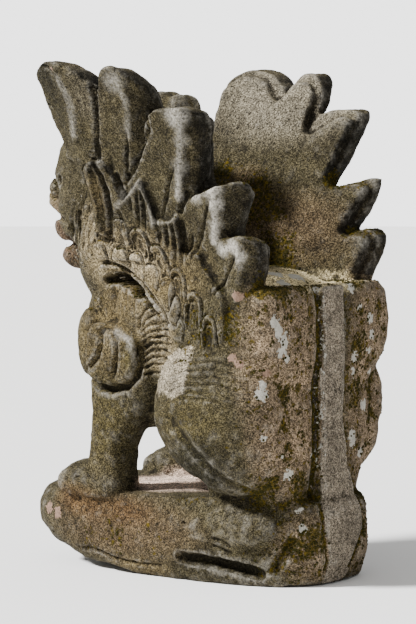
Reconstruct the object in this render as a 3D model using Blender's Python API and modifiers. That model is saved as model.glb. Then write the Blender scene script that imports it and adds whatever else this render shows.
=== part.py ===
"""Winged lion statue, carved with its low base in one block of volcanic stone.

The lion faces -Y, its left side is +X, and the underside of the base lies at z = 0.
The carving is worked out in its own measure, the notch: STATURE is cut into FIGURE_NOTCHES.
Forms are first roughed out in clay, which is closed shapes pushed into one another,
then fused by a voxel remesh, dressed, and thinned to a light faceted solid.
"""

import math

import bmesh
import bpy
import numpy as np
from mathutils import Matrix, Vector

# Driving sizes, in metres.
STATURE = 0.556              # top of the base to the highest feather
BASE_HEIGHT = 0.108
BASE_LENGTH = 0.468
BASE_HALF_WIDTH = 0.124
WING_THICKNESS = 0.060
UNDERSIDE_TRIM = 0.002       # cut off the bottom so that it sits flat

# The carving's own measure.
FIGURE_NOTCHES = 556
NOTCH = STATURE / FIGURE_NOTCHES
DECK = 108                   # height of the base's top in notches, as the carving counts

# How finely the clay is fused, and how light the finished solid is.
MASS_GRAIN = 0.006
CARVING_GRAIN = 0.0045
TRIANGLE_BUDGET = 9400

NAME = "winged_lion"


def at(x, y, z):
    """A point of the carving, counted in notches, as a place in metres."""
    return Vector((x * NOTCH, y * NOTCH, BASE_HEIGHT + (z - DECK) * NOTCH))


# Clay: closed shapes added to a bmesh.

def ball(clay, centre, radii, turn=(0, 0, 0)):
    """An ellipsoid, turned about X, Y and Z by degrees."""
    spin = Matrix.Identity(4)
    for axis, degrees in zip("XYZ", turn):
        spin = Matrix.Rotation(math.radians(degrees), 4, axis) @ spin
    size = Matrix.Diagonal((*[r * NOTCH for r in radii], 1))
    place = Matrix.Translation(at(*centre)) @ spin @ size
    bmesh.ops.create_uvsphere(clay, u_segments=28, v_segments=18, radius=1, matrix=place)


def add_object(clay, shape):
    """Takes an object's evaluated mesh into the clay and removes the object."""
    graph = bpy.context.evaluated_depsgraph_get()
    mesh = bpy.data.meshes.new_from_object(shape.evaluated_get(graph))
    mesh.transform(shape.matrix_world)
    piece = bmesh.new()
    piece.from_mesh(mesh)
    bmesh.ops.remove_doubles(piece, verts=piece.verts, dist=0.0001)
    bmesh.ops.recalc_face_normals(piece, faces=piece.faces)
    piece.to_mesh(mesh)
    piece.free()
    clay.from_mesh(mesh)
    bpy.data.objects.remove(shape)
    bpy.data.meshes.remove(mesh)


def roll(clay, stations):
    """A roll of clay through stations (x, y, z, radius), on a smooth curve."""
    curve = bpy.data.curves.new("roll", "CURVE")
    curve.dimensions = "3D"
    curve.bevel_depth = 1
    curve.bevel_resolution = 3
    curve.resolution_u = 6
    curve.use_fill_caps = True
    spline = curve.splines.new("NURBS")
    spline.points.add(len(stations) - 1)
    for point, (x, y, z, radius) in zip(spline.points, stations):
        point.co = (*at(x, y, z), 1)
        point.radius = radius * NOTCH
    spline.use_endpoint_u = True
    spline.order_u = min(4, len(stations))
    shape = bpy.data.objects.new("roll", curve)
    bpy.context.scene.collection.objects.link(shape)
    bpy.context.view_layer.update()
    add_object(clay, shape)
    for x, y, z, radius in (stations[0], stations[-1]):
        ball(clay, (x, y, z), (radius, radius, radius))


def plan_ring(z, front, rear, half_width, power, centre_x=0.0, steps=56):
    """One level of a stacked form: a superellipse in plan, all in metres."""
    middle = (front + rear) / 2
    reach = (rear - front) / 2
    ring = []
    for step in range(steps):
        angle = 2 * math.pi * step / steps
        c = math.cos(angle)
        s = math.sin(angle)
        x = math.copysign(abs(c) ** (2 / power), c) * half_width
        y = math.copysign(abs(s) ** (2 / power), s) * reach
        ring.append(Vector((centre_x + x, middle + y, z)))
    return ring


def stack(clay, rings):
    """Joins unlike plan rings, lowest first, into one closed form."""
    levels = [[clay.verts.new(point) for point in ring] for ring in rings]
    count = len(rings[0])
    for lower, upper in zip(levels, levels[1:]):
        for i in range(count):
            j = (i + 1) % count
            clay.faces.new((lower[i], lower[j], upper[j], upper[i]))
    clay.faces.new(list(reversed(levels[0])))
    clay.faces.new(levels[-1])


def figure_stack(clay, levels, centre_x=0.0):
    """A stack counted in notches: levels are (z, front, rear, half width, squareness)."""
    rings = []
    for z, front, rear, half, power in levels:
        height = at(0, 0, z).z
        rings.append(plan_ring(height, front * NOTCH, rear * NOTCH, half * NOTCH, power,
                               centre_x * NOTCH))
    stack(clay, rings)


def rounded(corners, steps=5):
    """A closed outline from corners (y, z, radius), each corner turned into an arc."""
    outline = []
    count = len(corners)
    for i, (y, z, radius) in enumerate(corners):
        corner = Vector((y, z))
        before = Vector(corners[i - 1][:2]) - corner
        after = Vector(corners[(i + 1) % count][:2]) - corner
        reach = min(radius, before.length * 0.48, after.length * 0.48)
        start = corner + before.normalized() * reach
        end = corner + after.normalized() * reach
        for step in range(steps + 1):
            t = step / steps
            outline.append(start * (1 - t) ** 2 + corner * 2 * t * (1 - t) + end * t * t)
    return outline


def slab(clay, corners, inner, outer, edge):
    """A flat piece in side view: an outline in y and z, from x = inner to x = outer."""
    curve = bpy.data.curves.new("slab", "CURVE")
    curve.dimensions = "2D"
    curve.fill_mode = "BOTH"
    curve.extrude = (outer - inner) / 2 * NOTCH - edge * NOTCH
    curve.bevel_depth = edge * NOTCH
    curve.bevel_resolution = 3
    curve.offset = -edge * NOTCH
    outline = rounded(corners)
    spline = curve.splines.new("POLY")
    spline.points.add(len(outline) - 1)
    for point, place in zip(spline.points, outline):
        point.co = (place.x * NOTCH, (place.y - DECK) * NOTCH, 0, 1)
    spline.use_cyclic_u = True
    shape = bpy.data.objects.new("slab", curve)
    bpy.context.scene.collection.objects.link(shape)
    side_view = Matrix(((0, 0, 1, (inner + outer) / 2 * NOTCH), (1, 0, 0, 0),
                        (0, 1, 0, BASE_HEIGHT), (0, 0, 0, 1)))
    shape.matrix_world = side_view
    bpy.context.view_layer.update()
    add_object(clay, shape)


def fuse(name, clay, grain, soften):
    """Fuses the clay into one closed skin and softens its creases."""
    mesh = bpy.data.meshes.new(name)
    clay.to_mesh(mesh)
    clay.free()
    lump = bpy.data.objects.new(name, mesh)
    bpy.context.scene.collection.objects.link(lump)
    remesh = lump.modifiers.new("fuse", "REMESH")
    remesh.mode = "VOXEL"
    remesh.voxel_size = grain
    if soften:
        smooth = lump.modifiers.new("soften", "SMOOTH")
        smooth.factor = 0.5
        smooth.iterations = soften
    graph = bpy.context.evaluated_depsgraph_get()
    fused = bpy.data.meshes.new_from_object(lump.evaluated_get(graph))
    bpy.data.objects.remove(lump)
    bpy.data.meshes.remove(mesh)
    return fused


def mirrored(clay, mesh):
    """Adds a near side mesh to the clay twice, once as made and once across x = 0."""
    clay.from_mesh(mesh)
    twin = mesh.copy()
    twin.transform(Matrix.Diagonal((-1, 1, 1, 1)))
    twin.flip_normals()
    clay.from_mesh(twin)
    bpy.data.meshes.remove(twin)


# The base.

BASE_FRONT = -0.238          # nose of the base, which curves up like a bow
BASE_REAR = BASE_FRONT + BASE_LENGTH
# height share, front share, rear share, width share
BASE_LEVELS = ((0.00, 0.36, 0.955, 0.86), (0.10, 0.70, 0.97, 0.92), (0.22, 0.83, 0.985, 0.95),
               (0.28, 0.90, 1.00, 0.975), (0.50, 0.995, 1.00, 1.00), (0.72, 1.00, 1.00, 1.00),
               (0.90, 0.955, 0.99, 0.975), (1.00, 0.86, 0.965, 0.90))


def base(clay):
    rings = []
    for height, front, rear, width in BASE_LEVELS:
        rings.append(plan_ring(height * BASE_HEIGHT, BASE_FRONT * front, BASE_REAR * rear,
                               BASE_HALF_WIDTH * width, 2.8))
    stack(clay, rings)


# The body.

BODY_LEVELS = ((96, 66, 194, 92, 4), (112, 62, 196, 102, 4), (136, 56, 199, 112, 4),
               (165, 40, 203, 126, 4), (190, 20, 204, 130, 4), (215, 12, 204, 130, 4),
               (250, 12, 204, 133, 4), (280, 26, 207, 143, 6), (300, 36, 209, 150, 8),
               (330, 60, 209, 150, 9), (368, 70, 206, 147, 8), (381, 60, 201, 140, 6))
CHEST_LEVELS = ((190, -92, 40, 74, 2.5), (208, -122, 60, 94, 2.5), (235, -142, 80, 102, 2.5),
                (262, -157, 80, 106, 2.5), (295, -165, 80, 108, 2.5), (325, -161, 80, 107, 2.5),
                (355, -152, 100, 106, 2.5), (385, -146, 120, 103, 2.5))
FORELEG_LEVELS = ((100, -118, -48, 36, 2.8), (140, -106, -50, 32, 2.8), (165, -103, -48, 31, 2.8),
                  (195, -102, -32, 31, 2.8), (222, -103, -8, 31, 2.8), (250, -104, 6, 31, 2.8),
                  (285, -100, 12, 30, 2.8))
LEG_SIDE = 95                # middle of each foreleg, out from the middle plane


def body(clay):
    figure_stack(clay, BODY_LEVELS)
    figure_stack(clay, CHEST_LEVELS)
    # the seat between the wings falls gently to the rear
    ball(clay, (0, 60, 374), (118, 112, 28))


def near_limbs(clay):
    """Foreleg, paw, haunch, shank and hind foot of the lion's left side."""
    figure_stack(clay, FORELEG_LEVELS, LEG_SIDE)
    # paw and its four toes
    ball(clay, (LEG_SIDE, -106, 121), (38, 45, 25))
    for step in range(4):
        side = LEG_SIDE - 24 + 16 * step
        ball(clay, (side, -134 + 3 * abs(step - 1.5), 117), (11, 21, 18))
    # haunch: a broad drum of muscle, with the knee forward
    ball(clay, (120, 108, 224), (56, 91, 92))
    ball(clay, (112, 80, 244), (56, 58, 66))
    ball(clay, (106, 128, 184), (60, 70, 68))
    # shank running down and forward of the thigh
    roll(clay, ((112, 58, 240, 34), (112, 68, 196, 36), (104, 90, 158, 36), (100, 114, 118, 38),
                (98, 130, 92, 36)))
    # hind foot laid along the base
    ball(clay, (92, 118, 74), (37, 68, 36))
    ball(clay, (96, 76, 68), (33, 30, 34))


# The head.

def head(clay):
    ball(clay, (0, -132, 512), (82, 96, 92))
    ball(clay, (0, -126, 572), (66, 78, 58))
    ball(clay, (0, -182, 534), (48, 48, 50))
    # muzzle: nose, cheeks, upper lip and chin
    ball(clay, (0, -200, 484), (38, 40, 32))
    ball(clay, (0, -236, 487), (22, 22, 18))
    ball(clay, (0, -212, 439), (30, 30, 27))
    ball(clay, (0, -190, 409), (36, 32, 26))
    # neck and mane
    ball(clay, (0, -86, 420), (104, 92, 104))
    ball(clay, (0, -52, 480), (68, 56, 96))


def near_head(clay):
    # brow, eye, cheek and nostril
    ball(clay, (34, -200, 518), (32, 18, 11), (0, -14, 24))
    ball(clay, (36, -198, 500), (17, 16, 15))
    ball(clay, (52, -150, 468), (32, 42, 46))
    ball(clay, (18, -226, 480), (13, 15, 12))
    # crown curls along the back of the head
    ball(clay, (12, -60, 604), (26, 20, 26))
    ball(clay, (10, -32, 602), (22, 18, 24))


# The wing, carved flat in side view and then leaned outward.

WING_FRONT = -60             # y of the foremost feather's axis
WING_REAR = 178
WING_ROOT = 400              # height from which the wing leans
ROOT_SIDE = (84, 133)        # middle of the blade at WING_ROOT, front and rear
LEAN = (0.575, 0.30)         # outward lean at the front and at the rear
FAN = 1.6

# Each long feather: its corners in side view, as (y, z, rounding)
FEATHERS = (
    ((-60, 496, 6), (-84, 566, 12), (-98, 650, 12), (-70, 669, 14), (-20, 660, 22),
     (15, 628, 14), (4, 560, 10), (-20, 500, 10)),
    ((-10, 496, 8), (0, 575, 10), (13, 636, 12), (26, 650, 12), (52, 655, 18), (72, 634, 14),
     (62, 585, 12), (38, 510, 10), (14, 480, 8)),
    ((22, 470, 8), (40, 540, 10), (64, 574, 10), (116, 605, 10), (136, 598, 12), (126, 548, 10),
     (106, 500, 10), (56, 452, 8)),
    ((62, 440, 8), (88, 484, 10), (114, 507, 8), (160, 521, 9), (179, 513, 12), (170, 480, 10),
     (142, 432, 10), (106, 406, 8)),
    ((78, 372, 8), (112, 418, 10), (142, 442, 8), (174, 447, 9), (192, 437, 11), (187, 408, 10),
     (170, 372, 8), (128, 340, 8)),
)
BLADE = ((-84, 330, 10), (-88, 420, 12), (-74, 500, 12), (-86, 568, 8), (-90, 642, 16),
         (-64, 660, 16), (-22, 652, 16), (10, 622, 8), (30, 642, 12), (50, 646, 14),
         (66, 628, 12), (56, 582, 10), (66, 570, 6), (116, 598, 8), (130, 590, 10),
         (108, 512, 6), (116, 503, 6), (160, 514, 8), (172, 508, 8), (144, 446, 6),
         (150, 438, 6), (176, 440, 8), (186, 432, 9), (166, 374, 8), (150, 330, 10))
HALF_WING = WING_THICKNESS / 2 / NOTCH


def blade(clay):
    slab(clay, BLADE, -HALF_WING, 20, 9)
    for corners in FEATHERS:
        slab(clay, corners, -14, HALF_WING, 13)


def coverts(clay):
    """Three pointed coverts, then two rows of scales that follow the wing's front edge."""
    slab(clay, ((-2, 440, 8), (2, 490, 8), (28, 522, 4), (50, 474, 8), (56, 430, 8)), 6, 41, 8)
    slab(clay, ((18, 400, 8), (26, 464, 6), (76, 474, 6), (78, 430, 8), (62, 390, 8)), 6, 41, 8)
    slab(clay, ((40, 350, 8), (48, 414, 6), (106, 410, 6), (100, 366, 8), (74, 338, 8)), 6, 41, 8)
    slab(clay, ((-58, 440, 8), (-38, 534, 4), (-8, 502, 8), (2, 446, 8)), 6, 37, 8)


# raised spines, from root to tip in side view
FEATHER_SPINES = (((10, 505), (42, 608)), ((50, 466), (104, 570)), ((98, 425), (148, 500)),
                  ((116, 362), (162, 430)))
COVERT_SPINES = (((26, 446), (28, 508)), ((48, 398), (52, 462)), ((74, 346), (80, 402)))


def spines(clay):
    for lines, height in ((FEATHER_SPINES, HALF_WING), (COVERT_SPINES, 41)):
        for (y, z), (y2, z2) in lines:
            roll(clay, ((height, y, z, 5), (height, y2, z2, 4)))


UPPER_SCALES = ((-28, 450), (4, 437), (24, 415), (44, 387), (54, 359))
LOWER_SCALES = ((-66, 430), (-41, 419), (-18, 409), (1, 396), (16, 378), (25, 358), (31, 334))


def scales(clay):
    for y, z in UPPER_SCALES:
        ball(clay, (34, y + 2, z - 6), (18, 19, 24), (-20, 0, 0))
    for y, z in LOWER_SCALES:
        ball(clay, (38, y + 2, z - 6), (17, 16, 20), (-25, 0, 0))


def lock(clay):
    """The thick lock of mane that hangs in front of the wing."""
    ball(clay, (36, -66, 489), (20, 21, 56), (6, 0, 0))
    ball(clay, (36, -72, 464), (20, 23, 34))


def wing_place(x, y, z):
    """Leans a point of the flat wing outward, everything in metres."""
    share = min(max((y / NOTCH - WING_FRONT) / (WING_REAR - WING_FRONT), 0), 1.1) ** FAN
    root = ROOT_SIDE[0] + (ROOT_SIDE[1] - ROOT_SIDE[0]) * share
    lean = LEAN[0] + (LEAN[1] - LEAN[0]) * share
    rise = (z - at(0, 0, WING_ROOT).z) / NOTCH
    soft = 30.0
    climb = 0.5 * (rise + math.sqrt(rise * rise + soft * soft))
    return Vector((x + (root + lean * (climb - soft / 2)) * NOTCH, y, z))


def near_wing():
    clay = bmesh.new()
    blade(clay)
    # the wing's shoulder swells outward over the body
    ball(clay, (18, 50, 350), (30, 84, 66))
    coverts(clay)
    spines(clay)
    scales(clay)
    lock(clay)
    flat = fuse("wing", clay, CARVING_GRAIN, 1)
    for vertex in flat.vertices:
        vertex.co = wing_place(*vertex.co)
    return flat


def shoulder(clay):
    """Ornaments on the near shoulder: the disc, its lobe, the tuft and the wing's raised rim."""
    ball(clay, (98, 0, 350), (44, 62, 60))
    ball(clay, (114, -51, 285), (22, 40, 43))
    ball(clay, (92, -116, 300), (18, 24, 44), (0, 0, -35))
    roll(clay, ((92, -130, 388, 9), (98, -112, 368, 13), (100, -92, 342, 11)))
    roll(clay, ((118, -98, 402, 8), (128, -70, 404, 10), (138, -32, 390, 11), (146, 0, 364, 11),
                (148, 26, 332, 10), (142, 38, 300, 8)))


def ridges(clay):
    """Curved ridges between the shoulder disc and the haunch."""
    for step in range(9):
        z = 256 + 11 * step
        start = -14 + 0.35 * step
        roll(clay, ((112, start - 8, z, 4), (118, start + 16, z + 7, 4.5),
                    (122, start + 44, z + 4, 4)))


# The rough strip down the middle of the back.

STRIP_STATIONS = ((26, 200, 372, 24), (26, 204, 300, 25), (22, 206, 220, 26), (12, 210, 150, 34),
                  (2, 212, 96, 40), (0, 200, 50, 42))


def strip(clay):
    for (x, y, z, half), (x2, y2, z2, half2) in zip(STRIP_STATIONS, STRIP_STATIONS[1:]):
        for step in range(6):
            t = step / 6
            ball(clay, (x + (x2 - x) * t, y + (y2 - y) * t - 4, z + (z2 - z) * t),
                 (half + (half2 - half) * t, 16, 22))


# Cuts made with the chisel on both flanks, as lines in side view (y, z).

# each cut: its line, then width, depth and how far out it starts
CUTS = (
    (((54, 30), (112, 24), (172, 33)), 10, 13, 90),
    (((52, 34), (47, 66), (44, 98)), 7, 4, 90),
    (((70, 212), (114, 166), (154, 126)), 10, 5, 90),
    (((-76, 258), (-70, 290), (-56, 308), (-43, 296), (-46, 258)), 7, 7, 110),
    (((-96, 272), (-92, 316)), 8, 5, 86),
    (((10, 262), (22, 300), (62, 330), (128, 330), (160, 300)), 8, 4, 120),
)
PETAL_EDGES = (-128, -96, -62, -28, 8)


def all_cuts():
    cuts = list(CUTS)
    for y in PETAL_EDGES:
        cuts.append((((y - 3, 26), (y + 1, 60), (y + 4, 92)), 6, 3, 60))
    return cuts


def chisel(mesh):
    """Pushes the skin inward along each cut, in a V, on the left and right flanks."""
    count = len(mesh.vertices)
    places = np.empty(count * 3, dtype=np.float32)
    mesh.vertices.foreach_get("co", places)
    places = places.reshape(-1, 3)
    facing = np.empty(count * 3, dtype=np.float32)
    mesh.vertex_normals.foreach_get("vector", facing)
    facing = facing.reshape(-1, 3)
    side = np.abs(places[:, 0]) / NOTCH
    outward = facing[:, 0] * np.sign(places[:, 0])
    across = np.stack([places[:, 1] / NOTCH, (places[:, 2] - BASE_HEIGHT) / NOTCH + DECK], axis=1)
    push = np.zeros(count)
    for line, width, depth, start in all_cuts():
        near = np.full(count, 1e9)
        for a, b in zip(line, line[1:]):
            a = np.array(a, dtype=float)
            b = np.array(b, dtype=float)
            run = b - a
            share = np.clip((across - a) @ run / (run @ run), 0, 1)
            near = np.minimum(near, np.linalg.norm(across - a - share[:, None] * run, axis=1))
        cut = depth * np.clip(1 - near / width, 0, 1)
        push = np.maximum(push, cut * (outward > 0.2) * (side > start))
    places -= facing * (push * NOTCH)[:, None].astype(np.float32)
    mesh.vertices.foreach_set("co", places.ravel())
    mesh.update()


# Assembly.

def masses():
    """The plain masses of the animal, fused and softened like worn stone."""
    clay = bmesh.new()
    base(clay)
    body(clay)
    head(clay)
    near = bmesh.new()
    near_limbs(near)
    near_head(near)
    side = bpy.data.meshes.new("side")
    near.to_mesh(side)
    near.free()
    mirrored(clay, side)
    return fuse("masses", clay, MASS_GRAIN, 3)


def ornaments():
    near = bmesh.new()
    shoulder(near)
    ridges(near)
    side = bpy.data.meshes.new("side ornaments")
    near.to_mesh(side)
    near.free()
    return side


def carve():
    clay = bmesh.new()
    strip(clay)
    clay.from_mesh(masses())
    mirrored(clay, near_wing())
    mirrored(clay, ornaments())
    return fuse("carving", clay, CARVING_GRAIN, 2)


def seat_flat(mesh):
    """Cuts the underside flat, centres the block on its plan and stands it at z = 0."""
    block = bmesh.new()
    block.from_mesh(mesh)
    low = min(v.co.z for v in block.verts) + UNDERSIDE_TRIM
    everything = block.verts[:] + block.edges[:] + block.faces[:]
    cut = bmesh.ops.bisect_plane(block, geom=everything, dist=1e-5, plane_co=(0, 0, low),
                                 plane_no=(0, 0, -1), clear_outer=True)
    rim = [e for e in cut["geom_cut"] if isinstance(e, bmesh.types.BMEdge)]
    bmesh.ops.holes_fill(block, edges=rim, sides=0)
    block.to_mesh(mesh)
    block.free()


def thin(mesh):
    """Thins the skin to the triangle budget, keeping triangles where the carving is."""
    lump = bpy.data.objects.new("thin", mesh)
    bpy.context.scene.collection.objects.link(lump)
    split = lump.modifiers.new("triangles", "TRIANGULATE")
    split.quad_method = "BEAUTY"
    lighter = lump.modifiers.new("thin", "DECIMATE")
    graph = bpy.context.evaluated_depsgraph_get()
    lighter.ratio = 1.0
    count = sum(len(p.vertices) - 2 for p in mesh.polygons)
    lighter.ratio = min(1.0, TRIANGLE_BUDGET / count)
    graph.update()
    light = bpy.data.meshes.new_from_object(lump.evaluated_get(graph))
    bpy.data.objects.remove(lump)
    return light


def centre(mesh):
    places = np.array([v.co[:] for v in mesh.vertices])
    low = places.min(axis=0)
    high = places.max(axis=0)
    mesh.transform(Matrix.Translation((-(low[0] + high[0]) / 2, -(low[1] + high[1]) / 2, -low[2])))


def stone():
    material = bpy.data.materials.new("stone")
    material.use_nodes = True
    shader = material.node_tree.nodes["Principled BSDF"]
    shader.inputs["Base Color"].default_value = (0.135, 0.120, 0.092, 1)
    shader.inputs["Roughness"].default_value = 0.92
    shader.inputs["Metallic"].default_value = 0.0
    return material


def main():
    for old in list(bpy.data.objects):
        bpy.data.objects.remove(old)
    mesh = carve()
    chisel(mesh)
    seat_flat(mesh)
    light = thin(mesh)
    centre(light)
    light.name = NAME
    light.materials.append(stone())
    statue = bpy.data.objects.new(NAME, light)
    group = bpy.data.collections.new("winged lion statue")
    bpy.context.scene.collection.children.link(group)
    group.objects.link(statue)


main()
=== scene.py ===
# %% [markdown]
# # A winged lion in one block of volcanic stone
# The statue is a single block of dark, porous stone: a crouching lion with two raised wings,
# standing on a low base that was left in the same stone. There is no seam anywhere, so it is one
# piece here too. The frame gives the plain solid and its size, and this lesson carves the same
# lion again at a finer grain, with its scales, ribs, mane and weather, inside that solid's box.

# %% Load the frame and keep its box
import itertools
import math

import bmesh
import bpy
import numpy as np
from mathutils import Matrix, Vector


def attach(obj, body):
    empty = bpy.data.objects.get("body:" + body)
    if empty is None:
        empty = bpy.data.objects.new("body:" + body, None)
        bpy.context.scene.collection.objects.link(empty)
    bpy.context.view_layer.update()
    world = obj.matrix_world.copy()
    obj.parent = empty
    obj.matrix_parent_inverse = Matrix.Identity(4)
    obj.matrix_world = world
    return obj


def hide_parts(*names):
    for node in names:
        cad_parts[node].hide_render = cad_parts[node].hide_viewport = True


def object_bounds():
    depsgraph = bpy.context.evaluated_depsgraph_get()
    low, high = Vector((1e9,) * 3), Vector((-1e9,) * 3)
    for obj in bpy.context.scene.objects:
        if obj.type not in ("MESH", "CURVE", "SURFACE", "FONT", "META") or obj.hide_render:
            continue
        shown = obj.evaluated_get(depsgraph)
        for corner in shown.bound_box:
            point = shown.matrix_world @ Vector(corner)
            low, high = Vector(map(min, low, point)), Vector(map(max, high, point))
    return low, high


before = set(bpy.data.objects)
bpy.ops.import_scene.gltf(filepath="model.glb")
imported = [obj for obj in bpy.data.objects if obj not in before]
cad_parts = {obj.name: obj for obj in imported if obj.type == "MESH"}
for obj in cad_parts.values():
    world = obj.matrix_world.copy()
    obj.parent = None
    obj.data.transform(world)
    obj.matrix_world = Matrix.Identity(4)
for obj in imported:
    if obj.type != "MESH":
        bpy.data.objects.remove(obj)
CAD_LOW, CAD_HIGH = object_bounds()
NODE = "winged_lion"
print("box of the frame:", [round(v, 4) for v in (*CAD_LOW, *CAD_HIGH)])

# %% [markdown]
# ## The carver's measure
# Carvers set out a figure in equal parts of its height. Everything below is counted in such
# parts, called notches, and the finished skin is scaled to metres once, at the very end. The
# lion faces -Y, and its left side, the one with most of the ornament in view, is +X.

# %% Set the notch and the grain of the work
HEIGHT_IN_NOTCHES = 665
NOTCH = (CAD_HIGH.z - CAD_LOW.z) / HEIGHT_IN_NOTCHES
DECK = 108                   # top of the base
MASS_GRAIN = 3.2             # voxel sizes, in notches
WING_GRAIN = 2.0
STONE_GRAIN = 2.4
TRIANGLES = 196000
SEED = 11
print("one notch is", round(NOTCH * 1000, 3), "mm")


# %% Put things in the scene and take meshes out
def in_scene(name, data):
    """A new object, linked to the scene."""
    made = bpy.data.objects.new(name, data)
    bpy.context.scene.collection.objects.link(made)
    return made


def built(thing):
    """The mesh that an object's curve or modifiers make."""
    graph = bpy.context.evaluated_depsgraph_get()
    return bpy.data.meshes.new_from_object(thing.evaluated_get(graph))


def direction(azimuth, height):
    """The way from the statue at an azimuth round from its front and a height above the level."""
    return Vector((math.sin(azimuth) * math.cos(height), -math.cos(azimuth) * math.cos(height),
                   math.sin(height)))


def read_vectors(rows, label):
    """One vector of each point, as an array."""
    flat = np.empty(len(rows) * 3, dtype=np.float32)
    rows.foreach_get(label, flat)
    return flat.reshape(-1, 3).astype(np.float64)


def write_places(mesh, places):
    mesh.vertices.foreach_set("co", places.astype(np.float32).ravel())
    mesh.update()


# %% [markdown]
# ## Camera, floor and light
# The picture was taken from behind the lion's left shoulder, almost level, through a long lens.
# The floor is a plain pale disc. One soft lamp stands high and far off on the left of the picture,
# so that the floor is as pale near as far, and a pale surround fills the shadows.

# %% Place the camera
AZIMUTH = math.radians(125)
DOWN = math.radians(3.7)
CAMERA_PLACE = Vector((2.855, 2.021, 0.5635))
FOCAL_IN_PIXELS = 2650
FRAME_HEIGHT = 624
SENSOR = 36

camera_data = bpy.data.cameras.new("camera")
camera_data.sensor_fit = "VERTICAL"
camera_data.sensor_height = SENSOR
camera_data.lens = FOCAL_IN_PIXELS / FRAME_HEIGHT * SENSOR
camera = in_scene("camera", camera_data)
camera.location = CAMERA_PLACE
camera.rotation_euler = (-direction(AZIMUTH, DOWN)).to_track_quat("-Z", "Y").to_euler()
bpy.context.scene.camera = camera
print("lens in mm:", round(camera_data.lens, 1))


# %% Lay the floor and hang the lamps
FLOOR_RADIUS = 14.0
FLOOR_COLOUR = (0.86, 0.855, 0.84, 1)
KEY_STRENGTH = 11.0
KEY_SPREAD = math.radians(9)
KEY_AZIMUTH = math.radians(50)
KEY_HEIGHT = math.radians(41)
KEY_DISTANCE = 3
SURROUND_LIGHT = 0.68
SURROUND_SEEN = 3.0


def plain_material(name, colour, roughness):
    material = bpy.data.materials.new(name)
    material.use_nodes = True
    shader = material.node_tree.nodes["Principled BSDF"]
    shader.inputs["Base Color"].default_value = colour
    shader.inputs["Roughness"].default_value = roughness
    return material


def key_lamp():
    """A wide soft lamp, far away on the left of the picture, that lights the floor evenly too."""
    data = bpy.data.lights.new("key", "SUN")
    data.energy = KEY_STRENGTH
    data.angle = KEY_SPREAD
    made = in_scene("key", data)
    away = direction(KEY_AZIMUTH, KEY_HEIGHT)
    made.location = away * KEY_DISTANCE
    made.rotation_euler = away.to_track_quat("Z", "Y").to_euler()


disc = bmesh.new()
bmesh.ops.create_circle(disc, cap_ends=True, segments=96, radius=FLOOR_RADIUS)
floor_mesh = bpy.data.meshes.new("floor")
disc.to_mesh(floor_mesh)
disc.free()
floor = in_scene("floor", floor_mesh)
floor_mesh.materials.append(plain_material("pale floor", FLOOR_COLOUR, 0.8))

key_lamp()

world = bpy.data.worlds.new("surround")
bpy.context.scene.world = world
world.use_nodes = True
surround = world.node_tree.nodes["Background"]
sight = world.node_tree.nodes.new("ShaderNodeLightPath")
strength = world.node_tree.nodes.new("ShaderNodeMapRange")
strength.inputs["To Min"].default_value = SURROUND_LIGHT
strength.inputs["To Max"].default_value = SURROUND_SEEN
world.node_tree.links.new(sight.outputs["Is Camera Ray"], strength.inputs["Value"])
world.node_tree.links.new(strength.outputs["Result"], surround.inputs["Strength"])
surround.inputs["Color"].default_value = (1, 1, 1, 1)
print("key lamp", KEY_STRENGTH, "W/m2, floor", FLOOR_RADIUS * 2, "m across")

# %% [markdown]
# ## Clay
# A carver thinks in masses first. Here each mass is a closed shape pushed into the others like
# clay, and a voxel remesh fuses them into one skin with no faces left inside. Booleans would give
# sharper joins, but worn stone has soft ones, and a remesh never fails on touching shapes.

# %% Closed shapes for the clay
def ball(clay, centre, radii, turn=(0, 0, 0)):
    """An ellipsoid, turned about X, Y and Z by degrees."""
    spin = Matrix.Identity(4)
    for axis, degrees in zip("XYZ", turn):
        spin = Matrix.Rotation(math.radians(degrees), 4, axis) @ spin
    place = Matrix.Translation(centre) @ spin @ Matrix.Diagonal((*radii, 1))
    bmesh.ops.create_uvsphere(clay, u_segments=32, v_segments=20, radius=1, matrix=place)


def balls(clay, rows):
    for row in rows:
        ball(clay, *row)


def plan_ring(z, front, rear, half, power, centre_x=0.0, steps=64):
    """One level of a stacked mass: a superellipse in plan."""
    ring = []
    for step in range(steps):
        angle = 2 * math.pi * step / steps
        c = math.cos(angle)
        s = math.sin(angle)
        x = math.copysign(abs(c) ** (2 / power), c) * half
        y = math.copysign(abs(s) ** (2 / power), s) * (rear - front) / 2
        ring.append(Vector((centre_x + x, (front + rear) / 2 + y, z)))
    return ring


def stack(clay, levels, centre_x=0.0):
    """Joins levels (z, front, rear, half width, squareness), lowest first, into one mass."""
    join_rings(clay, [plan_ring(*level, centre_x) for level in levels])


def join_rings(clay, outlines):
    """Closes a stack of outlines with as many points each into one mass."""
    rings = [[clay.verts.new(point) for point in outline] for outline in outlines]
    count = len(rings[0])
    for lower, upper in zip(rings, rings[1:]):
        for i in range(count):
            j = (i + 1) % count
            clay.faces.new((lower[i], lower[j], upper[j], upper[i]))
    clay.faces.new(list(reversed(rings[0])))
    clay.faces.new(rings[-1])


def rounded(corners, steps=6):
    """A closed outline from corners (y, z, radius), each corner turned into an arc."""
    outline = []
    count = len(corners)
    for i, (y, z, radius) in enumerate(corners):
        corner = Vector((y, z))
        before = Vector(corners[i - 1][:2]) - corner
        after = Vector(corners[(i + 1) % count][:2]) - corner
        reach = min(radius, before.length * 0.48, after.length * 0.48)
        start = corner + before.normalized() * reach
        end = corner + after.normalized() * reach
        for step in range(steps + 1):
            t = step / steps
            outline.append(start * (1 - t) ** 2 + corner * 2 * t * (1 - t) + end * t * t)
    return outline


# Turns a flat curve's own axes so that its outline lies in the side view.
SIDE_VIEW = Matrix(((0, 0, 1, 0), (1, 0, 0, 0), (0, 1, 0, 0), (0, 0, 0, 1)))


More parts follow.
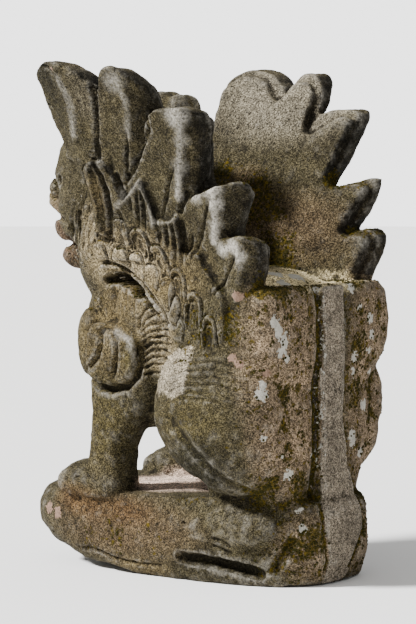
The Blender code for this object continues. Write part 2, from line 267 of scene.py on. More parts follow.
def slab(clay, corners, inner, outer, edge):
    """A flat piece in side view: an outline in y and z, from x = inner to x = outer."""
    curve = bpy.data.curves.new("slab", "CURVE")
    curve.dimensions = "2D"
    curve.fill_mode = "BOTH"
    curve.extrude = (outer - inner) / 2 - edge
    curve.bevel_depth = edge
    curve.bevel_resolution = 3
    curve.offset = -edge
    outline = rounded(corners)
    spline = curve.splines.new("POLY")
    spline.points.add(len(outline) - 1)
    for point, place in zip(spline.points, outline):
        point.co = (place.x, place.y, 0, 1)
    spline.use_cyclic_u = True
    shape = in_scene("slab", curve)
    mesh = built(shape)
    mesh.transform(Matrix.Translation(((inner + outer) / 2, 0, 0)) @ SIDE_VIEW)
    # the flat faces and the bevel come apart, so their points are joined again
    piece = bmesh.new()
    piece.from_mesh(mesh)
    bmesh.ops.remove_doubles(piece, verts=piece.verts, dist=0.1)
    bmesh.ops.recalc_face_normals(piece, faces=piece.faces)
    piece.to_mesh(mesh)
    piece.free()
    clay.from_mesh(mesh)
    bpy.data.objects.remove(shape)
    bpy.data.meshes.remove(mesh)


def fuse(name, clay, grain, soften):
    """Fuses the clay into one closed skin and softens its creases."""
    mesh = bpy.data.meshes.new(name)
    clay.to_mesh(mesh)
    clay.free()
    lump = in_scene(name, mesh)
    remesh = lump.modifiers.new("fuse", "REMESH")
    remesh.mode = "VOXEL"
    remesh.voxel_size = grain
    smooth = lump.modifiers.new("soften", "SMOOTH")
    smooth.factor = 0.5
    smooth.iterations = soften
    fused = built(lump)
    bpy.data.objects.remove(lump)
    bpy.data.meshes.remove(mesh)
    return fused


def mirrored(clay, mesh):
    """Adds a left side mesh to the clay twice, once as made and once across x = 0."""
    clay.from_mesh(mesh)
    twin = mesh.copy()
    twin.transform(Matrix.Diagonal((-1, 1, 1, 1)))
    twin.flip_normals()
    clay.from_mesh(twin)
    bpy.data.meshes.remove(twin)


def as_mesh(clay, name):
    mesh = bpy.data.meshes.new(name)
    clay.to_mesh(mesh)
    clay.free()
    return mesh


print("clay helpers ready, side view looks along -X")

# %% [markdown]
# ## Rolls with Geometry Nodes
# Limbs, ribs, mane strands and shoulder ridges all follow a line with a changing thickness. That
# is a rule, so Geometry Nodes make them: one tree sweeps a round section along guide lines.
# Bevelled curve objects could do it too, but the tree handles every line in one go.

# %% Build the tree
def take_in(tree, inputs):
    """Gives a tree its named inputs with their kinds and first values."""
    for label, kind, value in inputs:
        socket = tree.interface.new_socket(label, in_out="INPUT", socket_type="NodeSocket" + kind)
        if value is not None:
            socket.default_value = value


def start_tree(name, inputs):
    """A geometry tree with a geometry in and out, and the named inputs."""
    tree = bpy.data.node_groups.new(name, "GeometryNodeTree")
    take_in(tree, (("Guide", "Geometry", None), *inputs))
    tree.interface.new_socket("Shape", in_out="OUTPUT", socket_type="NodeSocketGeometry")
    return tree


def add(tree, kind, inputs=None, **traits):
    """A node with its traits set, and its inputs linked to sockets or set to values."""
    made = tree.nodes.new(kind)
    for name, value in traits.items():
        setattr(made, name, value)
    for name, value in (inputs or {}).items():
        socket = made.inputs[name]
        if isinstance(value, bpy.types.NodeSocket):
            tree.links.new(value, socket)
        else:
            socket.default_value = value
    return made


def smooth_guide(tree, guide):
    line = add(tree, "GeometryNodeMeshToCurve", {"Mesh": guide})
    return add(tree, "GeometryNodeCurveSplineType", {"Curve": line.outputs[0]},
               spline_type="CATMULL_ROM")


def close_tree(tree, shape, material):
    real = add(tree, "GeometryNodeRealizeInstances", {"Geometry": shape})
    dressed = add(tree, "GeometryNodeSetMaterial",
                  {"Geometry": real.outputs[0], "Material": material})
    end = tree.nodes.new("NodeGroupOutput")
    tree.links.new(dressed.outputs[0], end.inputs[0])


def roll_tree():
    tree = start_tree("rolls of clay", (("Spacing", "Float", 3.0), ("Sides", "Int", 12),
                                        ("Material", "Material", None)))
    given = tree.nodes.new("NodeGroupInput").outputs
    line = smooth_guide(tree, given["Guide"])
    even = add(tree, "GeometryNodeResampleCurve",
               {"Curve": line.outputs[0], "Length": given["Spacing"]}, mode="LENGTH")
    thick = add(tree, "GeometryNodeInputNamedAttribute", {"Name": "thick"}, data_type="FLOAT")
    sized = add(tree, "GeometryNodeSetCurveRadius",
                {"Curve": even.outputs[0], "Radius": thick.outputs[0]})
    section = add(tree, "GeometryNodeCurvePrimitiveCircle",
                  {"Resolution": given["Sides"], "Radius": 1.0})
    swept = add(tree, "GeometryNodeCurveToMesh",
                {"Curve": sized.outputs[0], "Profile Curve": section.outputs[0], "Fill Caps": True})
    close_tree(tree, swept.outputs[0], given["Material"])
    return tree


ROLLS = roll_tree()
STONE = bpy.data.materials.new("weathered stone")
print("tree:", ROLLS.name)


# %% Run a tree on guide lines
def guide_object(name, lines):
    """Guide lines of points (x, y, z, thickness) as one mesh of edges."""
    places = [point[:3] for line in lines for point in line]
    edges = []
    start = 0
    for line in lines:
        edges += [(start + i, start + i + 1) for i in range(len(line) - 1)]
        start += len(line)
    mesh = bpy.data.meshes.new(name)
    mesh.from_pydata(places, edges, [])
    thick = mesh.attributes.new("thick", "FLOAT", "POINT")
    thick.data.foreach_set("value", [point[3] for line in lines for point in line])
    return in_scene(name, mesh)


def grown(tree, guide, **settings):
    """The plain mesh that a tree makes of a guide, which is then removed."""
    maker = guide.modifiers.new(tree.name, "NODES")
    maker.node_group = tree
    settings.setdefault("Material", STONE)
    for item in tree.interface.items_tree:
        if item.item_type == "SOCKET" and item.in_out == "INPUT" and item.name in settings:
            maker[item.identifier] = settings[item.name]
    mesh = built(guide)
    bpy.data.objects.remove(guide)
    return mesh


def rolls(clay, lines):
    """Adds rolls along the lines to the clay, with rounded ends."""
    mesh = grown(ROLLS, guide_object("rolls", lines))
    clay.from_mesh(mesh)
    bpy.data.meshes.remove(mesh)


# %% [markdown]
# ## The masses
# Base, trunk, chest, legs and head come from the same few sizes as the plain solid. The trunk and
# chest are stacks of rounded squares, because the block was squared before it was carved and its
# flanks still show it. The limbs are drums and rolls of muscle.

# %% The base
BASE_FRONT = -238
BASE_REAR = 230
BASE_HALF_WIDTH = 124
# height share, front share, rear share, width share
BASE_LEVELS = ((0.00, 0.36, 0.955, 0.86), (0.10, 0.70, 0.97, 0.92), (0.22, 0.83, 0.985, 0.95),
               (0.28, 0.90, 1.00, 0.975), (0.50, 0.995, 1.00, 1.00), (0.72, 1.00, 1.00, 1.00),
               (0.90, 0.955, 0.99, 0.975), (1.00, 0.86, 0.965, 0.90))


def base(clay):
    levels = []
    for height, front, rear, width in BASE_LEVELS:
        levels.append((height * DECK, BASE_FRONT * front, BASE_REAR * rear,
                       BASE_HALF_WIDTH * width, 2.8))
    stack(clay, levels)


# %% Trunk, chest and legs
BODY_LEVELS = ((96, 66, 194, 92, 4), (112, 62, 196, 102, 4), (136, 56, 199, 112, 4),
               (165, 40, 203, 126, 4), (190, 20, 204, 130, 4), (215, 12, 204, 130, 4),
               (250, 12, 204, 133, 4), (280, 26, 207, 143, 6), (300, 36, 209, 150, 8),
               (330, 60, 209, 150, 9), (368, 70, 206, 147, 8), (381, 60, 201, 140, 6))
CHEST_LEVELS = ((190, -92, 40, 74, 2.5), (208, -122, 60, 94, 2.5), (235, -142, 80, 102, 2.5),
                (262, -157, 80, 106, 2.5), (295, -165, 80, 108, 2.5), (325, -161, 80, 107, 2.5),
                (355, -152, 100, 106, 2.5), (385, -146, 120, 103, 2.5))
FORELEG_LEVELS = ((100, -118, -48, 36, 2.8), (140, -106, -50, 32, 2.8), (165, -103, -48, 31, 2.8),
                  (195, -102, -32, 31, 2.8), (222, -103, -8, 31, 2.8), (250, -104, 6, 31, 2.8),
                  (285, -100, 12, 30, 2.8))
LEG_SIDE = 95
TOES = 4
TOE_APART = 16
# upper and lower haunch, thigh, hind foot and heel
HAUNCH_BALLS = (((120, 108, 224), (56, 91, 92)), ((112, 80, 244), (56, 58, 66)),
                ((106, 128, 184), (60, 70, 68)), ((92, 118, 74), (37, 68, 36)),
                ((96, 76, 68), (33, 30, 34)))
SHANK = ((112, 58, 240, 34), (112, 68, 196, 36), (104, 90, 158, 36), (100, 114, 118, 38),
         (98, 130, 92, 36))


def body(clay):
    stack(clay, BODY_LEVELS)
    stack(clay, CHEST_LEVELS)
    ball(clay, (0, 60, 374), (118, 112, 28))


def near_limbs(clay):
    """Foreleg, paw, haunch, shank and hind foot of the left side."""
    stack(clay, FORELEG_LEVELS, LEG_SIDE)
    ball(clay, (LEG_SIDE, -106, 121), (38, 45, 25))
    for toe in range(TOES):
        from_middle = toe - (TOES - 1) / 2
        side = LEG_SIDE + TOE_APART * from_middle
        ball(clay, (side, -134 + 3 * abs(from_middle), 117), (11, 21, 18))
    balls(clay, HAUNCH_BALLS)
    rolls(clay, [SHANK])


# %% The head
# the lines of brow, lids and lips on the left side, as (x, y, z, thickness)
BROW = ((6, -221, 520, 8), (32, -214, 533, 10), (60, -192, 530, 10), (76, -164, 512, 6))
UPPER_LID = ((18, -220, 502, 4), (38, -213, 517, 5), (60, -196, 508, 4))
LOWER_LID = ((18, -220, 498, 4), (38, -212, 486, 4), (60, -196, 496, 4))
UPPER_LIP = ((0, -228, 440, 10), (24, -215, 437, 10), (46, -196, 436, 9), (56, -176, 444, 7))
LOWER_LIP = ((0, -214, 412, 9), (24, -204, 412, 9), (44, -188, 417, 8), (54, -172, 426, 6))
# curls of mane round the face: angles from the crown down, and the two rows by their depth
CURL_TURNS = (7, 25, 43, 61, 79)
CURL_ROWS = ((-152, 0, 13), (-122, 9, 14))


# skull, crown, forehead; nose bridge and bulb, muzzle, chin; neck and mane
HEAD_BALLS = (((0, -132, 512), (82, 96, 92)), ((0, -126, 572), (66, 78, 58)),
              ((0, -182, 534), (48, 48, 50)), ((0, -198, 484), (44, 40, 32)),
              ((0, -231, 487), (24, 22, 18)), ((0, -197, 446), (48, 34, 24)),
              ((0, -186, 410), (46, 34, 22)), ((0, -86, 420), (104, 92, 104)),
              ((0, -52, 480), (68, 56, 96)))
# eyeball, cheek, nostril, lip pad and ear of the left side
FACE_BALLS = (((39, -206, 501), (17, 16, 14)), ((54, -152, 468), (32, 42, 46)),
              ((20, -224, 481), (13, 15, 12)), ((22, -206, 450), (22, 18, 16)),
              ((74, -118, 566), (14, 20, 26), (0, 24, 0)))
# curls along the back of the crown
CROWN_BALLS = (((12, -60, 604), (26, 20, 26)), ((10, -32, 602), (22, 18, 24)))


def near_head(clay):
    balls(clay, FACE_BALLS)
    rolls(clay, [BROW, UPPER_LID, LOWER_LID, UPPER_LIP, LOWER_LIP])
    for depth, later, size in CURL_ROWS:
        for turn in CURL_TURNS:
            angle = math.radians(turn + later)
            ball(clay, (78 * math.sin(angle), depth, 530 + 88 * math.cos(angle)), (size, size, size))
    balls(clay, CROWN_BALLS)


# %% Fuse the masses
def masses():
    clay = bmesh.new()
    base(clay)
    body(clay)
    balls(clay, HEAD_BALLS)
    near = bmesh.new()
    near_head(near)
    near_limbs(near)
    side = as_mesh(near, "near side")
    mirrored(clay, side)
    return fuse("masses", clay, MASS_GRAIN, 8)


plain_masses = masses()
print("masses fused:", len(plain_masses.vertices), "points")

# %% [markdown]
# ## The wing
# The wing is carved flat in side view, where its outline is easy to draw, and then leaned
# outward as a sheet: the front feathers lean most. Its rear edges are worn to broad facets, with
# a pale ridge where a facet meets the outer face, so those facets are planed off while the wing
# is still flat.

# %% Feathers and coverts in side view
HALF_WING = 30
COVERT_FACE = 41
FEATHERS = (
    ((-66, 496, 6), (-90, 566, 12), (-104, 648, 12), (-74, 666, 14), (-30, 658, 20),
     (4, 628, 14), (-4, 560, 10), (-24, 500, 10)),
    ((-16, 496, 8), (-6, 575, 10), (7, 636, 10), (18, 655, 12), (38, 656, 12), (58, 640, 14),
     (70, 620, 12), (62, 585, 12), (38, 510, 10), (14, 480, 8)),
    ((-6, 490, 6), (16, 524, 6), (37, 544, 8), (52, 564, 8), (60, 590, 8), (76, 604, 12), (116, 606, 12),
     (136, 598, 12), (126, 548, 10), (106, 500, 10), (56, 452, 8)),
    ((46, 446, 8), (84, 478, 6), (106, 496, 6), (145, 509, 8), (174, 514, 12), (182, 504, 10),
     (170, 476, 10), (142, 432, 10), (106, 406, 8)),
    ((66, 372, 8), (106, 420, 8), (142, 442, 8), (174, 447, 9), (192, 437, 11), (187, 408, 10),
     (170, 372, 8), (128, 340, 8)),
)
BLADE = ((-84, 330, 10), (-88, 420, 12), (-78, 500, 12), (-92, 568, 8), (-96, 640, 16),
         (-70, 658, 16), (-34, 650, 16), (0, 614, 8), (18, 642, 10), (40, 646, 12),
         (60, 626, 12), (56, 582, 10), (66, 570, 6), (116, 598, 8), (130, 590, 10),
         (108, 512, 6), (116, 500, 6), (160, 506, 8), (172, 500, 8), (144, 446, 6),
         (150, 438, 6), (176, 440, 8), (186, 432, 9), (166, 374, 8), (150, 330, 10))
COVERTS = (
    ((-19, 440, 6), (-19, 481, 4), (-6, 489, 3), (14, 502, 3), (29, 516, 2), (34, 496, 3), (39, 478, 4),
     (50, 450, 8), (50, 430, 8)),
    ((24, 400, 8), (33, 460, 3), (51, 463, 3), (64, 464, 3), (75, 471, 3), (74, 430, 8), (62, 390, 8)),
    ((48, 350, 8), (60, 412, 6), (84, 426, 5), (104, 424, 6), (104, 372, 8), (74, 338, 8)),
    ((-56, 440, 8), (-36, 540, 3), (-20, 533, 4), (-8, 512, 4), (-5, 494, 3), (-14, 482, 4),
     (-14, 446, 8)),
)
# The worn facets: a feather's number, its ridge from tip to root as (y, z), how far the facet drops
# for each notch past the ridge, and whether it lies to the rear (1) or the front (-1).
FACETS = (
    (0, (-50, 642), (-57, 566), 0.45, -1),
    (1, (46, 640), (30, 566), 0.80, 1),
    (2, (115, 590), (88, 500), 0.95, 1),
    (3, (143, 500), (130, 440), 0.95, 1),
    (4, (168, 425), (158, 374), 0.95, 1),
)


def plane_facet(feather, tip, root, drop, way):
    """Cuts a feather with a slanted plane through its ridge, and closes the cut."""
    a = Vector((HALF_WING, *tip))
    b = Vector((HALF_WING, *root))
    along = b - a
    past = Vector((-drop, way, 0))
    normal = along.cross(past).normalized()
    if normal.x < 0:
        normal = -normal
    everything = feather.verts[:] + feather.edges[:] + feather.faces[:]
    cut = bmesh.ops.bisect_plane(feather, geom=everything, dist=1e-4, plane_co=a, plane_no=normal,
                                 clear_outer=True)
    rim = [e for e in cut["geom_cut"] if isinstance(e, bmesh.types.BMEdge)]
    bmesh.ops.holes_fill(feather, edges=rim, sides=0)


# the raised ground that the scales lie on
SCALE_BED = ((-76, 396, 8), (-74, 452, 8), (-50, 470, 6), (-6, 462, 8), (22, 452, 8), (60, 432, 8),
             (100, 412, 8), (140, 372, 10), (140, 310, 10), (80, 290, 10), (46, 316, 10), (34, 344, 8),
             (16, 366, 8), (0, 382, 8), (-20, 394, 8))
LOWER_BED = ((-74, 396, 8), (-72, 436, 6), (-40, 432, 6), (-14, 424, 6), (6, 418, 6), (26, 404, 6),
             (46, 384, 8), (62, 362, 8), (74, 336, 8), (80, 300, 8), (54, 306, 8), (36, 344, 8),
             (16, 366, 8), (0, 382, 8), (-20, 394, 8))


def blade(clay):
    slab(clay, BLADE, -HALF_WING, 6, 8)
    slab(clay, SCALE_BED, -14, 41, 7)
    slab(clay, LOWER_BED, -14, 48, 7)
    for number, corners in enumerate(FEATHERS):
        feather = bmesh.new()
        slab(feather, corners, -14, HALF_WING, 5)
        for which, tip, root, drop, way in FACETS:
            if which == number:
                plane_facet(feather, tip, root, drop, way)
        cut = as_mesh(feather, "feather")
        clay.from_mesh(cut)
        bpy.data.meshes.remove(cut)
    for corners in COVERTS:
        slab(clay, corners, 6, COVERT_FACE - 2, 5)


# %% Ribs and the lock of mane
# Each rib runs from its root to its tip, as (y, z) in side view.
FEATHER_RIBS = (
    ((4, 500), (14, 548), (24, 585)),
    ((14, 508), (25, 550), (36, 590)),
    ((48, 462), (66, 510), (90, 556), (104, 584)),
    ((60, 464), (80, 512), (102, 552)),
    ((98, 430), (118, 463), (134, 496)),
    ((84, 424), (107, 459), (122, 486)),
    ((112, 366), (140, 396), (160, 424)),
)
COVERT_RIBS = (
    ((-18, 478), (-7, 487), (13, 499), (28, 513)),
    ((29, 512), (33, 495), (37, 478), (36, 456)),
    ((4, 462), (12, 478), (19, 494)),
    ((13, 458), (21, 478), (26, 498)),
    ((24, 456), (30, 478)),
    ((34, 457), (50, 460), (62, 461), (72, 467)),
    ((73, 466), (71, 442), (65, 414)),
    ((44, 428), (52, 452)),
    ((55, 424), (63, 454)),
    ((76, 420), (80, 450)),
    ((84, 418), (98, 438)),
    ((62, 404), (84, 420), (103, 419)),
    ((-36, 536), (-24, 520), (-14, 504), (-8, 490)),
)
# centre, half width, length and turn in degrees of each scale
UPPER_SCALES = (((-27, 444), 15, 20, 6), ((2, 430), 17, 23, 8), ((29, 408), 16, 24, 2),
                ((59, 380), 16, 24, -8), ((88, 350), 15, 24, -2), ((115, 324), 13, 22, -2))
LOWER_SCALES = (((-72, 422), 17, 15, 0), ((-33, 411), 13, 17, 12), ((-8, 404), 13, 18, 14),
                ((14, 389), 14, 18, 18), ((40, 369), 14, 18, 20), ((51, 350), 14, 19, 16),
                ((58, 326), 16, 18, 0))


def ribs(clay):
    lines = [[(HALF_WING, y, z, 4.5) for y, z in rib] for rib in FEATHER_RIBS]
    lines += [[(COVERT_FACE - 1, y, z, 3.6) for y, z in rib] for rib in COVERT_RIBS]
    rolls(clay, lines)


LOCK = ((-34, 541, 8), (-53, 532, 10), (-57, 512, 10), (-60, 488, 10), (-68, 460, 10), (-68, 446, 8),
        (-56, 438, 8), (-43, 450, 10), (-31, 480, 10), (-27, 512, 8))
LOCK_RIDGE = ((-43, 528), (-48, 508), (-50, 486), (-56, 464), (-62, 452))


def lock(clay):
    """The thick lock of mane that hangs in front of the wing."""
    slab(clay, LOCK, 6, 44, 9)
    rolls(clay, [[(46, y, z, 7) for y, z in LOCK_RIDGE]])


# %% Lean the wing
WING_FRONT = -60
WING_REAR = 178
WING_ROOT = 400
ROOT_SIDE = (84, 133)
LEAN = (0.575, 0.30)
FAN = 1.6
SOFT_BEND = 30


def lean_out(mesh):
    """Leans the flat wing outward from its root, the front feathers most."""
    places = read_vectors(mesh.vertices, "co")
    y = places[:, 1]
    share = np.clip((y - WING_FRONT) / (WING_REAR - WING_FRONT), 0, 1.1) ** FAN
    root = ROOT_SIDE[0] + (ROOT_SIDE[1] - ROOT_SIDE[0]) * share
    slope = LEAN[0] + (LEAN[1] - LEAN[0]) * share
    rise = places[:, 2] - WING_ROOT
    climb = 0.5 * (rise + np.sqrt(rise * rise + SOFT_BEND * SOFT_BEND))
    places[:, 0] += root + slope * (climb - SOFT_BEND / 2)
    write_places(mesh, places)


def wing():
    clay = bmesh.new()
    ball(clay, (18, 50, 350), (30, 84, 66))
    lock(clay)
    ribs(clay)
    blade(clay)
    flat = fuse("wing", clay, WING_GRAIN, 1)
    lean_out(flat)
    return flat


left_wing = wing()
print("wing carved and leaned:", len(left_wing.vertices), "points")

# %% [markdown]
# ## Shoulder, mane and back strip
# The shoulder carries a curled disc, a lobe and a leaf tuft, with a raised rim where the wing
# starts and a fan of ridges behind. They are slabs and rolls, fused to the block with the wing.
# Down the middle of the back runs a rough light band with crisp edges, as if left from a split.

# %% Shoulder ornaments
DISC = ((-88, 328, 12), (-42, 327, 12), (-19, 316, 10), (-16, 286, 14), (-24, 264, 12),
        (-38, 252, 12), (-58, 247, 12), (-78, 250, 12), (-95, 262, 12), (-98, 300, 14))
RIM = ((-98, 392), (-83, 400), (-69, 405), (-58, 406), (-44, 403), (-30, 398), (-16, 390), (0, 380),
       (17, 365), (33, 348), (44, 331), (50, 312))
RIM_SIDE = ((120, 6), (136, 6.5), (145, 6.5), (147, 6), (147, 5.2), (146, 4.5))
SHOULDER_RIDGES = (
    ((-7, 322), (-3, 337), (4, 348), (14, 360)),
    ((1, 327), (6, 338), (15, 347), (25, 352)),
    ((2, 325), (12, 333), (26, 337), (36, 339)),
    ((0, 317), (12, 324), (26, 328), (40, 329)),
    ((-3, 308), (10, 316), (28, 319), (42, 318)),
    ((-6, 301), (10, 309), (29, 311), (46, 308)),
    ((-8, 293), (8, 301), (28, 302), (54, 298)),
    ((-8, 284), (10, 292), (30, 293), (54, 288)),
    ((-7, 276), (10, 283), (28, 284), (48, 280)),
    ((-6, 268), (9, 273), (26, 274), (43, 269)),
    ((-6, 259), (10, 262), (24, 262), (37, 259)),
)
RIDGE_SIDES = (120, 129, 140, 145)
TUFT_STRANDS = (((-116, 372), (-103, 366), (-95, 356), (-84, 343), (-78, 333)),
                ((-118, 362), (-107, 356), (-98, 346), (-88, 336)),
                ((-116, 352), (-104, 349), (-94, 342), (-84, 333)))
# the bulge above the rim that carries the lower row of scales
COLLAR = ((100, -116, 424, 16), (112, -92, 424, 24), (117, -62, 426, 28), (119, -34, 424, 28),
          (120, -8, 412, 28), (119, 22, 390, 27), (118, 44, 362, 25), (118, 56, 330, 22))
# upper and lower shoulder, the ground of the disc, and the lobe in front of it
SHOULDER_BALLS = (((98, 0, 350), (44, 62, 60)), ((88, 26, 296), (44, 48, 60)),
                  ((112, -52, 287), (20, 38, 38)), ((92, -116, 300), (18, 24, 44), (0, 0, -35)))


def shoulder(clay):
    balls(clay, SHOULDER_BALLS)
    rim = []
    for step, (y, z) in enumerate(RIM):
        share = step / (len(RIM) - 1) * (len(RIM_SIDE) - 1)
        low = min(int(share), len(RIM_SIDE) - 2)
        part = share - low
        side = RIM_SIDE[low][0] * (1 - part) + RIM_SIDE[low + 1][0] * part
        rim.append((side, y, z - 7, RIM_SIDE[low][1]))
    lines = [rim, COLLAR]
    lines += [[(100, y, z, 6) for y, z in strand] for strand in TUFT_STRANDS]
    for ridge in SHOULDER_RIDGES:
        lines.append([(side, y, z, 5) for side, (y, z) in zip(RIDGE_SIDES, ridge)])
    rolls(clay, lines)
    slab(clay, DISC, 92, 133, 7)


# %% Strands of mane on the cheek
MANE_FRONT = ((-150, 500), (-158, 470), (-161, 440), (-154, 418), (-138, 403), (-112, 396))
MANE_REAR = ((-88, 500), (-92, 470), (-96, 446), (-96, 428), (-92, 416), (-84, 410))
STRANDS = 6


def between(first, second, share):
    """The line that lies a share of the way from one guide line to another."""
    return [tuple(a + (b - a) * share for a, b in zip(p, q)) for p, q in zip(first, second)]


def mane(clay):
    lines = []
    for number in range(STRANDS):
        share = number / (STRANDS - 1)
        side = 78 + 44 * share
        line = between(MANE_FRONT, MANE_REAR, share)
        lines.append([(side + 4 * step * (1 - share), y, z, 6) for step, (y, z) in enumerate(line)])
    rolls(clay, lines)


# %% The band down the back
# height, left edge, right edge and rear face of the band
BAND = ((379, 40, -9, 214), (310, 40, -9, 217), (260, 43, -13, 217), (223, 40, -8, 217),
        (185, 40, -11, 217), (150, 40, -15, 217), (136, 41, -24, 218), (109, 42, -32, 219),
        (96, 47, -34, 221), (71, 47, -36, 223), (48, 44, -22, 225), (22, 40, -4, 222))
BAND_DEPTH = 34
BAND_SQUARENESS = 9
BAND_UP = tuple(reversed(BAND))
BAND_HEIGHTS = [level[0] for level in BAND_UP]


def band(clay):
    outlines = []
    for z, left, right, rear in BAND_UP:
        outlines.append(plan_ring(z, rear - BAND_DEPTH, rear, (left - right) / 2, BAND_SQUARENESS,
                                  (left + right) / 2))
    join_rings(clay, outlines)


# %% Fuse everything into one block
def block():
    clay = bmesh.new()
    band(clay)
    near = bmesh.new()
    mane(near)
    shoulder(near)
    side = as_mesh(near, "near ornaments")
    mirrored(clay, side)
    clay.from_mesh(plain_masses)
    mirrored(clay, left_wing)
    return fuse("block", clay, STONE_GRAIN, 1)


stone_mesh = block()
print("block fused:", len(stone_mesh.vertices), "points")

# %% [markdown]
# ## Chisel work
# The fused skin is now cut like stone. A line in side view is scored as a V by moving the skin
# inward wherever it passes, and a stamped form gets a raised rim and a sunk middle. Moving the
# points of one skin keeps it closed, which a boolean of hundreds of small cutters would risk.
# First the carved parts are divided more finely, so that a narrow line has points to move.

# %% Divide the carved parts more finely
# boxes of fine work on the left side: lowest and highest corner; the right side mirrors them
FINE_BOXES = (((96, -130, 300), (260, 200, 680)), ((84, -130, 240), (180, 70, 400)),
              ((0, -270, 380), (130, -60, 560)), ((120, 20, 215), (190, 200, 320)),
              ((90, -170, 10), (140, 60, 110)))


def divide_fine(mesh):
    skin = bmesh.new()
    skin.from_mesh(mesh)
    chosen = []
    for face in skin.faces:
        point = face.calc_center_median()
        side = abs(point.x)
        if face.normal.x * point.x < 0 and side > 90:
            continue
        for low, high in FINE_BOXES:
            if low[0] < side < high[0] and low[1] < point.y < high[1] and low[2] < point.z < high[2]:
                chosen.append(face)
                break
    edges = list({edge for face in chosen for edge in face.edges})
    bmesh.ops.subdivide_edges(skin, edges=edges, cuts=1, use_grid_fill=True)
    skin.to_mesh(mesh)
    skin.free()


divide_fine(stone_mesh)
print("after dividing:", len(stone_mesh.vertices), "points")


# %% The chisel
OUTWARD_LEAST = 0.12         # how far a point must face outward to be cut from the side
END_FROM = 170               # how far forward or back a point must lie to be cut from an end


class Skin:
    """The points of the stone, the way each faces, and how far each is to be moved out."""

    def __init__(self, mesh):
        self.mesh = mesh
        self.places = read_vectors(mesh.vertices, "co")
        self.facing = read_vectors(mesh.vertex_normals, "vector")
        self.side = np.abs(self.places[:, 0])
        self.outward = self.facing[:, 0] * np.sign(self.places[:, 0])
        self.lift = np.zeros(len(self.places))
        self.pressed = np.zeros(len(self.places))

    def near(self, line, reach, start):
        """The outward points near a side view line, their distance and their share along it."""
        line = np.array(line, dtype=float)
        low = line.min(axis=0) - reach
        high = line.max(axis=0) + reach
        y = self.places[:, 1]
        z = self.places[:, 2]
        chosen = np.flatnonzero((self.outward > OUTWARD_LEAST) & (self.side > start)
                                & (y > low[0]) & (y < high[0]) & (z > low[1]) & (z < high[1]))
        points = self.places[chosen][:, 1:3]
        distance, share = line_distance(points, line)
        return chosen, distance, share

    def score(self, line, width, depth, start, taper=0.0):
        """A V cut along a side view line, shallower at its ends by taper."""
        chosen, distance, share = self.near(line, width, start)
        ends = 1 - taper * np.abs(2 * share - 1) ** 3
        self.lift[chosen] -= depth * ends * np.clip(1 - distance / width, 0, 1)

    def press(self, line, width, depth, start, taper=0.0):
        """A deep slot along a side view line, sunk straight toward the middle of the statue."""
        chosen, distance, share = self.near(line, width, start)
        ends = 1 - taper * np.abs(2 * share - 1) ** 3
        sunk = depth * ends * np.clip(1.7 * (1 - distance / width), 0, 1)
        self.pressed[chosen] = np.maximum(self.pressed[chosen], sunk)

    def score_end(self, line, width, depth, way=1):
        """A V cut in the back (way 1) or the face (way -1), along a line in x and z."""
        chosen = np.flatnonzero((way * self.facing[:, 1] > 0.3)
                                & (way * self.places[:, 1] > END_FROM))
        distance, _ = line_distance(self.places[chosen][:, (0, 2)], np.array(line, dtype=float))
        self.lift[chosen] -= depth * np.clip(1 - distance / width, 0, 1)

    def raise_line(self, line, width, height, start):
        """A rounded ridge along a side view line."""
        chosen, distance, _ = self.near(line, width, start)
        self.lift[chosen] += height * np.clip(1 - (distance / width) ** 2, 0, 1)

    def pit(self, place, radius, depth):
        """A round hole, bored inward."""
        away = np.linalg.norm(self.places - np.array(place, dtype=float), axis=1)
        self.lift -= depth * np.clip(1 - (away / radius) ** 2, 0, 1)

    def finish(self):
        self.places += self.facing * self.lift[:, None]
        self.places[:, 0] -= np.sign(self.places[:, 0]) * self.pressed
        write_places(self.mesh, self.places)


def line_distance(points, line):
    """The distance from each point to a line of many points, and the share of the way along it."""
    distance = np.full(len(points), 1e9)
    share = np.zeros(len(points))
    steps = len(line) - 1
    for number, (a, b) in enumerate(zip(line, line[1:])):
        run = b - a
        part = np.clip((points - a) @ run / max(run @ run, 1e-9), 0, 1)
        away = np.linalg.norm(points - a - part[:, None] * run, axis=1)
        closer = away < distance
        distance = np.where(closer, away, distance)
        share = np.where(closer, (number + part) / steps, share)
    return distance, share


def cut(tool, lines, width, depth, start, taper=0.0):
    """Takes the same tool along each of the lines."""
    for line in lines:
        tool(line, width, depth, start, taper)


skin = Skin(stone_mesh)
print("points that face outward:", int((skin.outward > OUTWARD_LEAST).sum()))

# %% Cut the wing
FEATHER_JOINTS = (((-1, 640), (-4, 614), (-11, 588), (-23, 562), (-29, 542)),
                  ((64, 600), (64, 577), (53, 562), (37, 544), (20, 526), (0, 510)),
                  ((-8, 520), (-5, 492)), ((96, 500), (80, 476)))
CRACK = ((-98, 655), (-77, 657), (-63, 655), (-56, 650), (-50, 643), (-44, 632), (-42, 622))
LEAF_GROOVES = (((8, 494), (2, 474)), ((23, 504), (16, 478), (8, 456)), ((28, 500), (26, 478), (18, 452)),
                ((43, 456), (38, 434)), ((57, 458), (49, 428)), ((67, 462), (65, 440), (59, 414)),
                ((78, 462), (77, 440), (70, 410)), ((90, 446), (79, 422)), ((112, 455), (88, 418)),
                ((-19, 478), (-19, 462), (-16, 450)), ((40, 480), (42, 466), (38, 452)))
RIB_GROOVES = (((88, 530), (69, 502), (49, 469)), ((134, 490), (119, 463), (101, 431)),
               ((30, 574), (21, 552), (10, 524), (2, 504)), ((160, 420), (140, 392), (124, 372)))

cut(skin.press, FEATHER_JOINTS, 4.5, 6, 120, 0.3)
skin.score(CRACK, 2.6, 3.5, 150, 0.8)
cut(skin.score, LEAF_GROOVES, 4.2, 4.5, 100, 0.5)
cut(skin.score, RIB_GROOVES, 3.6, 4.5, 100, 0.5)
print("wing lines cut:", len(FEATHER_JOINTS + LEAF_GROOVES + RIB_GROOVES))

